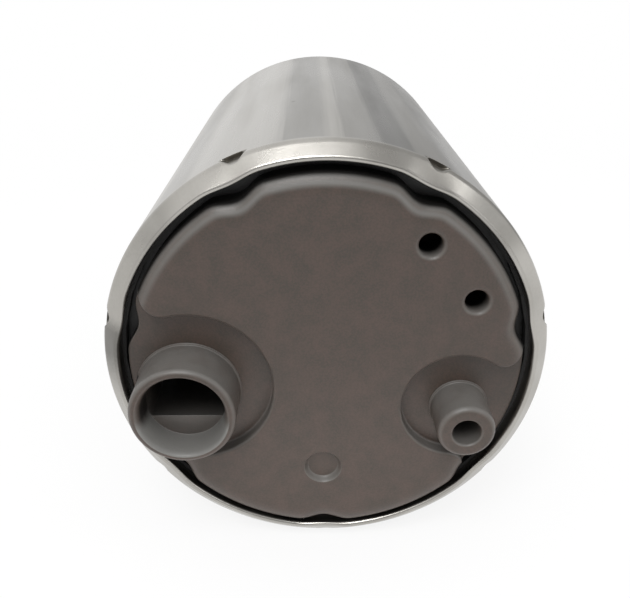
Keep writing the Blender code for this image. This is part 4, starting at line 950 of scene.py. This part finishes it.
capBox = boxOf("outlet_cap")
outlet = {
    "fit": capBox[1][0], "back": capBox[0][1], "tip": capBox[1][1], "shoulder": 26.15, "radius": 16.85,
    "face": 28.35, "groove": (15.9, 22.3, 24.6), "foot": 0.4, "edge": 0.5, "support": 0.12, "around": 360,
    "nipple": {"at": (0.0, -9.2), "radius": 3.9, "bore": 2.2, "chamber": (3.0, 30.75), "base": (5.4, 1.45),
               "barb": 0.6, "barbs": (2, 1), "pitch": 2.9, "mouth": 0.35},
    "socket": {"at": (0.0, 9.6), "size": (12.4, 5.8), "wall": 1.3, "floor": 29.35, "rim": 36.35, "edge": 0.4,
               "foot": 0.25},
    "lug": {"width": 3.4, "height": 0.9, "length": 2.6, "toe": 0.1, "setback": 1.6, "depth": 0.8},
    "towers": {"x": 6.4, "size": (5.8, 7.0), "corner": 1.1, "top": 32.45, "channel": (3.6, 4.8),
               "channelCorner": 0.1, "roof": 31.45},
    "terminals": {"x": 3.6, "slot": (1.4, 3.4), "corner": 0.2, "top": 29.65},
    "chokes": {"at": (10.598, 7.7), "radius": 2.3, "roof": 26.25},
    "bearing": {"radius": 3.3, "roof": 24.65},
    "relief": {"at": (9.399, -8.6005), "radius": 2.9, "top": 29.35, "bore": (1.9, 27.125), "vent": 0.8,
               "mouth": 0.3, "edge": 0.35},
}


def circle(at, radius, steps=72):
    # A closed (x, z) outline round a place.
    return arc(at, radius, 0, 360, steps)[:-1]


def standing(name, outline, top, edge):
    # A boss on the cap's face: an outline carried up a fillet, a straight wall and a rounded upper edge.
    face, foot = outlet["face"], outlet["foot"]
    profile = chain((foot, face - past), arc((foot, face + foot - 0.01), foot, -90, -180, 6),
                    arc((-edge, top - edge), edge, 0, 90, 7), (-edge - outlet["support"], top))
    return shell(name, carried(outline, profile))


def opening(name, outline, mouth, edge, floor, foot):
    # A cut from above: a rounded mouth, a straight wall, and a fillet at its floor.
    profile = chain((edge, mouth + past), arc((edge, mouth - edge), edge, 90, 180, 7),
                    arc((-foot, floor + foot), foot, 0, -90, 5))
    return shell(name, carried(outline, profile))


def passage(name, outline, top):
    # A straight cut from the inside up to top.
    return shell(name, carried(outline, np.array(((0.0, outlet["back"] - past), (0.0, top)))))


def steppedBore(name, at, radius, mouth, tip, wide, change):
    # A round bore with a rounded mouth that widens further in.
    profile = chain((radius + mouth, tip + past), arc((radius + mouth, tip - mouth), mouth, 90, 180, 7),
                    (radius, change), (wide, change), (wide, outlet["back"] - past))
    return shell(name, turned(profile, at, 96))


def makeDisc():
    # The cap's section carried round: the part that slides into the can with its seal groove, the
    # shoulder under the can's edge, and the face.
    fit, back, shoulder = outlet["fit"], outlet["back"], outlet["shoulder"]
    radius, face = outlet["radius"], outlet["face"]
    groove, low, high = outlet["groove"]
    rows = [(fit - 1.0, back, 0), (fit, back, 0.3), (fit, low, 0.08), (groove, low, 0.15),
            (groove, high, 0.15), (fit, high, 0.08), (fit, shoulder, 0.4), (radius, shoulder, 0.3),
            (radius, face, 0.75), (radius - 1.6, face, 0)]
    return shell("cap disc", turned(softened(rows, 6), steps=outlet["around"]))


def makeHoseNipple():
    # Foot, cone, tube, two barbs and a drawn-in end, with softened corners, carried round.
    nipple, face, tip = outlet["nipple"], outlet["face"], outlet["tip"]
    tube, pitch = nipple["radius"], nipple["pitch"]
    barb = tube + nipple["barb"]
    base, rise = nipple["base"]
    rows = [(base + 0.5, face - 1.0, 0), (base + 0.5, face - 0.01, 0), (base, face + 0.5, 0.45),
            (base, face + rise, 0.35), (tube, face + pitch, 0.6)]
    for i in nipple["barbs"]:
        step = tip - i * pitch
        rows += [(tube, step - pitch / 6, 0.15), (barb, step - pitch / 6, 0.14),
                 (barb, step + pitch / 8, 0.14), (tube, step + 0.7 * pitch, 0.4)]
    rows += [(tube - nipple["barb"] / 2, tip, 0.28), (nipple["bore"] + 0.6, tip, 0)]
    return shell("hose nipple", turned(softened(rows, 6), nipple["at"], 144))


def makeLug():
    # Rounded (x, z) rectangles stacked along the axis: their height steps up, stays, and falls to the toe.
    lug, socket = outlet["lug"], outlet["socket"]
    wall = socket["at"][1] + socket["size"][1] / 2 + socket["wall"]
    end = socket["rim"] - lug["setback"]
    start = end - lug["length"]
    sunk = 0.1 - lug["depth"]
    rows = [(start, sunk, 0), (start, lug["height"], 0.25), (start + lug["length"] / 3, lug["height"], 0.3),
            (end, lug["toe"], 0.1), (end + 0.1, sunk, 0)]
    rings = []
    for y, rise in softened(rows, 6):
        height = lug["depth"] + rise
        middle = (socket["at"][0], wall + rise - height / 2)
        outline = roundBox(lug["width"], height, min(0.3, height * 0.49), middle)
        rings.append(np.column_stack((outline[:, 0], np.full(len(outline), y), outline[:, 1])))
    return shell("latch lug", np.stack(rings))


def makeOutletCap():
    # The disc with its bosses joined, then every opening cut.
    nipple, socket, relief, towers = (outlet[name] for name in ("nipple", "socket", "relief", "towers"))
    terminals, chokes, bearing = outlet["terminals"], outlet["chokes"], outlet["bearing"]
    (wide, high), wall, rim = socket["size"], socket["wall"], socket["rim"]
    outer = roundBox(wide + 2 * wall, high + 2 * wall, wall, socket["at"], 10)
    well = roundBox(wide, high, wall / 2, socket["at"], 8)
    bosses = [makeHoseNipple(), standing("shroud", outer, rim, socket["edge"]), makeLug(),
              standing("relief boss", circle(relief["at"], relief["radius"]), relief["top"], relief["edge"])]
    tools = [opening("well", well, rim, socket["edge"], socket["floor"], socket["foot"]),
             passage("bearing seat", circle((0, 0), bearing["radius"]), bearing["roof"])]
    for name, hole, bore, top, inner in (("hose bore", nipple, "bore", outlet["tip"], nipple["chamber"]),
                                         ("relief bore", relief, "vent", relief["top"], relief["bore"])):
        tools.append(steppedBore(name, hole["at"], hole[bore], hole["mouth"], top, *inner))
    for side in (-1, 1):
        at = (side * towers["x"], 0.0)
        tower = roundBox(*towers["size"], towers["corner"], at, 8)
        bosses.append(standing("tower", tower, towers["top"], outlet["edge"]))
        channel = roundBox(*towers["channel"], towers["channelCorner"], at, 2)
        tools.append(passage("brush channel", channel, towers["roof"]))
        at = (side * terminals["x"], socket["at"][1])
        slot = roundBox(*terminals["slot"], terminals["corner"], at, 4)
        tools.append(passage("terminal slot", slot, terminals["top"]))
        at = (side * chokes["at"][0], chokes["at"][1])
        tools.append(passage("choke pocket", circle(at, chokes["radius"]), chokes["roof"]))
    body = combined(makeDisc(), bosses, "UNION")
    combined(body, tools, "DIFFERENCE")
    body.name = "outlet_moulding"
    return finished(body, finishes["cap"], "housing", ["outlet_cap"])


capPiece = makeOutletCap()
print("outlet cap made:", len(capPiece.data.polygons), "faces")


# Springs and choke windings, each wound inside its node's box

coils = {
    "brush_spring_left": {"turns": 4, "wire": 0.2, "joint": "brush_left_slide", "travel": 2.2},
    "brush_spring_right": {"turns": 4, "wire": 0.2, "joint": "brush_right_slide", "travel": 2.2},
    "valve_spring": {"turns": 4, "wire": 0.24, "joint": "check_valve_slide", "travel": 1.8},
    "relief_spring": {"turns": 3, "wire": 0.2, "joint": "relief_slide", "travel": 0.8},
    "choke_coil_left": {"turns": 7, "wire": 0.3},
    "choke_coil_right": {"turns": 7, "wire": 0.3},
}


def makeCoils():
    # A helix wound in each node's box; each spring keeps a mesh of its own.
    for node, coil in coils.items():
        low, high = boxOf(node)
        middle = (low + high) / 2
        radius = (high[0] - low[0]) / 2 - coil["wire"]
        wound = helix(radius, coil["wire"], coil["turns"], low[1], high[1], (middle[0], middle[2]))
        piece = shell(node + "_wire", wound)
        finish, slot = ("spring", "spring_steel") if "joint" in coil else ("copper", "winding_copper")
        finished(piece, finishes[finish], "housing", [node], 60)
        if "joint" in coil:
            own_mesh(piece)


makeCoils()
print("springs and coils wound")


# CAD nodes that keep their shape

nodeFinish = {
    "steel": ["flux_ring"],
    "cover": ["pump_body"],
    "rubber": ["cover_seal", "cap_seal", "valve_seal"],
    "wheel": ["impeller"],
    "bronze": ["pump_bearing", "cap_bearing"],
    "ceramic": ["thrust_button"],
    "ground": ["guide_ring", "rotor_shaft", "lower_washer", "upper_washer", "relief_ball"],
    "lamination": ["armature_core"],
    "copper": ["armature_windings"],
    "carbon": ["commutator", "brush_left", "brush_right"],
    "ferrite": ["magnet_left", "magnet_right", "choke_core_left", "choke_core_right"],
    "spring": ["magnet_clip_top", "magnet_clip_bottom"],
    "brass": ["terminal_left", "terminal_right", "relief_seat"],
    "natural": ["lower_spacer", "upper_spacer", "valve_seat", "valve_poppet"],
}
for finish, names in nodeFinish.items():
    for node in names:
        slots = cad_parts[node].data.materials
        if slots:
            slots[0] = finishes[finish]
        else:
            slots.append(finishes[finish])
print("CAD nodes dressed")


# Floor, light and camera

stage = {
    "floorSize": 3000.0, "white": (1, 1, 1, 1), "bounce": (0.82, 0.82, 0.82, 1), "whiteShare": 0.84,
    "shadowReach": (60.0, 220.0), "sky": (0.08, 1.3),
    # Levels of the mirrored studio: from and to these shares of a direction, and the levels there
    "dim": (-0.15, 0.42, (1.0, 0.48)), "window": (0.86, 0.96, (0.0, 0.6)),
    "room": (-0.97, -0.62, (0.35, 1.0)),
}


def seesBackground(tree):
    # 1 for rays that should meet a white background: those of the camera, reflections and glass.
    path = newNode(tree, "LightPath").outputs
    seen = calc(tree, "MAXIMUM", path["Is Camera Ray"], path["Is Glossy Ray"])
    return calc(tree, "MAXIMUM", seen, path["Is Transmission Ray"])


def makeFloor():
    # A plain pale floor under the can, which keeps the can's soft shadow and is pure white further off.
    half = stage["floorSize"] / 2 * mm
    z = canBox[0][2] * mm
    mesh = bpy.data.meshes.new("floor")
    corners = [(-half, -half, z), (half, -half, z), (half, half, z), (-half, half, z)]
    mesh.from_pydata(corners, [], [(0, 1, 2, 3)])
    floor = bpy.data.objects.new("floor", mesh)
    bpy.context.scene.collection.objects.link(floor)
    material, tree, shader = newMaterial("pale_floor")
    tree.nodes.remove(shader)
    matt = newNode(tree, "BsdfDiffuse", Color=stage["bounce"])
    glow = newNode(tree, "Emission", Color=stage["white"])
    far = newNode(tree, "VectorMath", Vector=objectPlace(tree))
    far.operation = "LENGTH"
    near, beyond = stage["shadowReach"]
    share = ramp(tree, far.outputs["Value"], near * mm, beyond * mm, (stage["whiteShare"], 1.0))
    mix = newNode(tree, "MixShader")
    for number, source in enumerate((calc(tree, "MULTIPLY", seesBackground(tree), share),
                                     matt.outputs[0], glow.outputs[0])):
        tree.links.new(source, mix.inputs[number])
    tree.links.new(mix.outputs[0], tree.nodes["Material Output"].inputs["Surface"])
    mesh.materials.append(material)


def makeWorld():
    # White to the camera. Reflections meet a white studio that dims towards the right, up to a window
    # there, and to the front, where the room is. Everything else gets a plain soft light, which rises
    # with the direction's height.
    world = bpy.data.worlds.new("studio")
    world.use_nodes = True
    tree = world.node_tree
    background = tree.nodes["Background"]
    background.inputs["Color"].default_value = stage["white"]
    way = axes(tree, objectPlace(tree))
    right = calc(tree, "ADD", ramp(tree, way["X"], *stage["dim"]), ramp(tree, way["X"], *stage["window"]))
    mirrored = calc(tree, "MULTIPLY", right, ramp(tree, way["Y"], *stage["room"]))
    path = newNode(tree, "LightPath").outputs
    clear = calc(tree, "MAXIMUM", path["Is Camera Ray"], path["Is Transmission Ray"])
    seen = calc(tree, "MULTIPLY", path["Is Glossy Ray"], mirrored)
    even, overhead = stage["sky"]
    sky = calc(tree, "MULTIPLY_ADD", calc(tree, "MAXIMUM", way["Z"], 0.0), overhead, even)
    rest = calc(tree, "MULTIPLY", calc(tree, "SUBTRACT", 1.0, seesBackground(tree)), sky)
    level = calc(tree, "MAXIMUM", clear, calc(tree, "MAXIMUM", seen, rest))
    tree.links.new(level, background.inputs["Strength"])
    bpy.context.scene.world = world


lamps = [
    {"name": "key", "place": (-88, -318, 456), "aim": (0, -27, 0), "size": (220, 220), "watts": 1.45,
     "mirrored": True},
    {"name": "side", "place": (350, -352, 150), "aim": (0, -27, 0), "size": (150, 150), "watts": 0.16,
     "mirrored": True},
    {"name": "streak", "place": (277, -73, 235), "aim": (9, -27, 15), "size": (90, 90), "watts": 0.06,
     "mirrored": True},
    {"name": "low card", "place": (0, -46, -18.4), "aim": (0, -27, -10), "size": (40, 7), "watts": 0.0036,
     "mirrored": False},
]


def makeLamps():
    for lamp in lamps:
        data = bpy.data.lights.new(lamp["name"], "AREA")
        data.shape = "RECTANGLE"
        data.size, data.size_y = lamp["size"][0] * mm, lamp["size"][1] * mm
        data.energy = lamp["watts"]
        piece = bpy.data.objects.new(lamp["name"], data)
        piece.location = Vector(lamp["place"]) * mm
        piece.rotation_euler = (Vector(lamp["aim"]) * mm - piece.location).to_track_quat("-Z", "Y").to_euler()
        piece.visible_camera = False
        piece.visible_glossy = lamp["mirrored"]
        bpy.context.scene.collection.objects.link(piece)


camera = {"place": (-1.41, -80.36, 30.95), "target": (-0.964, -27.25, 6.184), "lens": 41.25, "sensor": 36.0,
          "clip": (0.001, 20.0)}


def makeCamera():
    data = bpy.data.cameras.new("camera")
    data.lens, data.sensor_width = camera["lens"], camera["sensor"]
    data.clip_start, data.clip_end = camera["clip"]
    piece = bpy.data.objects.new("camera", data)
    piece.location = Vector(camera["place"]) * mm
    aim = Vector(camera["target"]) * mm - piece.location
    piece.rotation_euler = aim.to_track_quat("-Z", "Y").to_euler()
    bpy.context.scene.collection.objects.link(piece)
    bpy.context.scene.camera = piece


makeFloor()
makeWorld()
makeLamps()
makeCamera()
bpy.context.scene.view_settings.view_transform = "Standard"
print("stage, lamps and camera made")
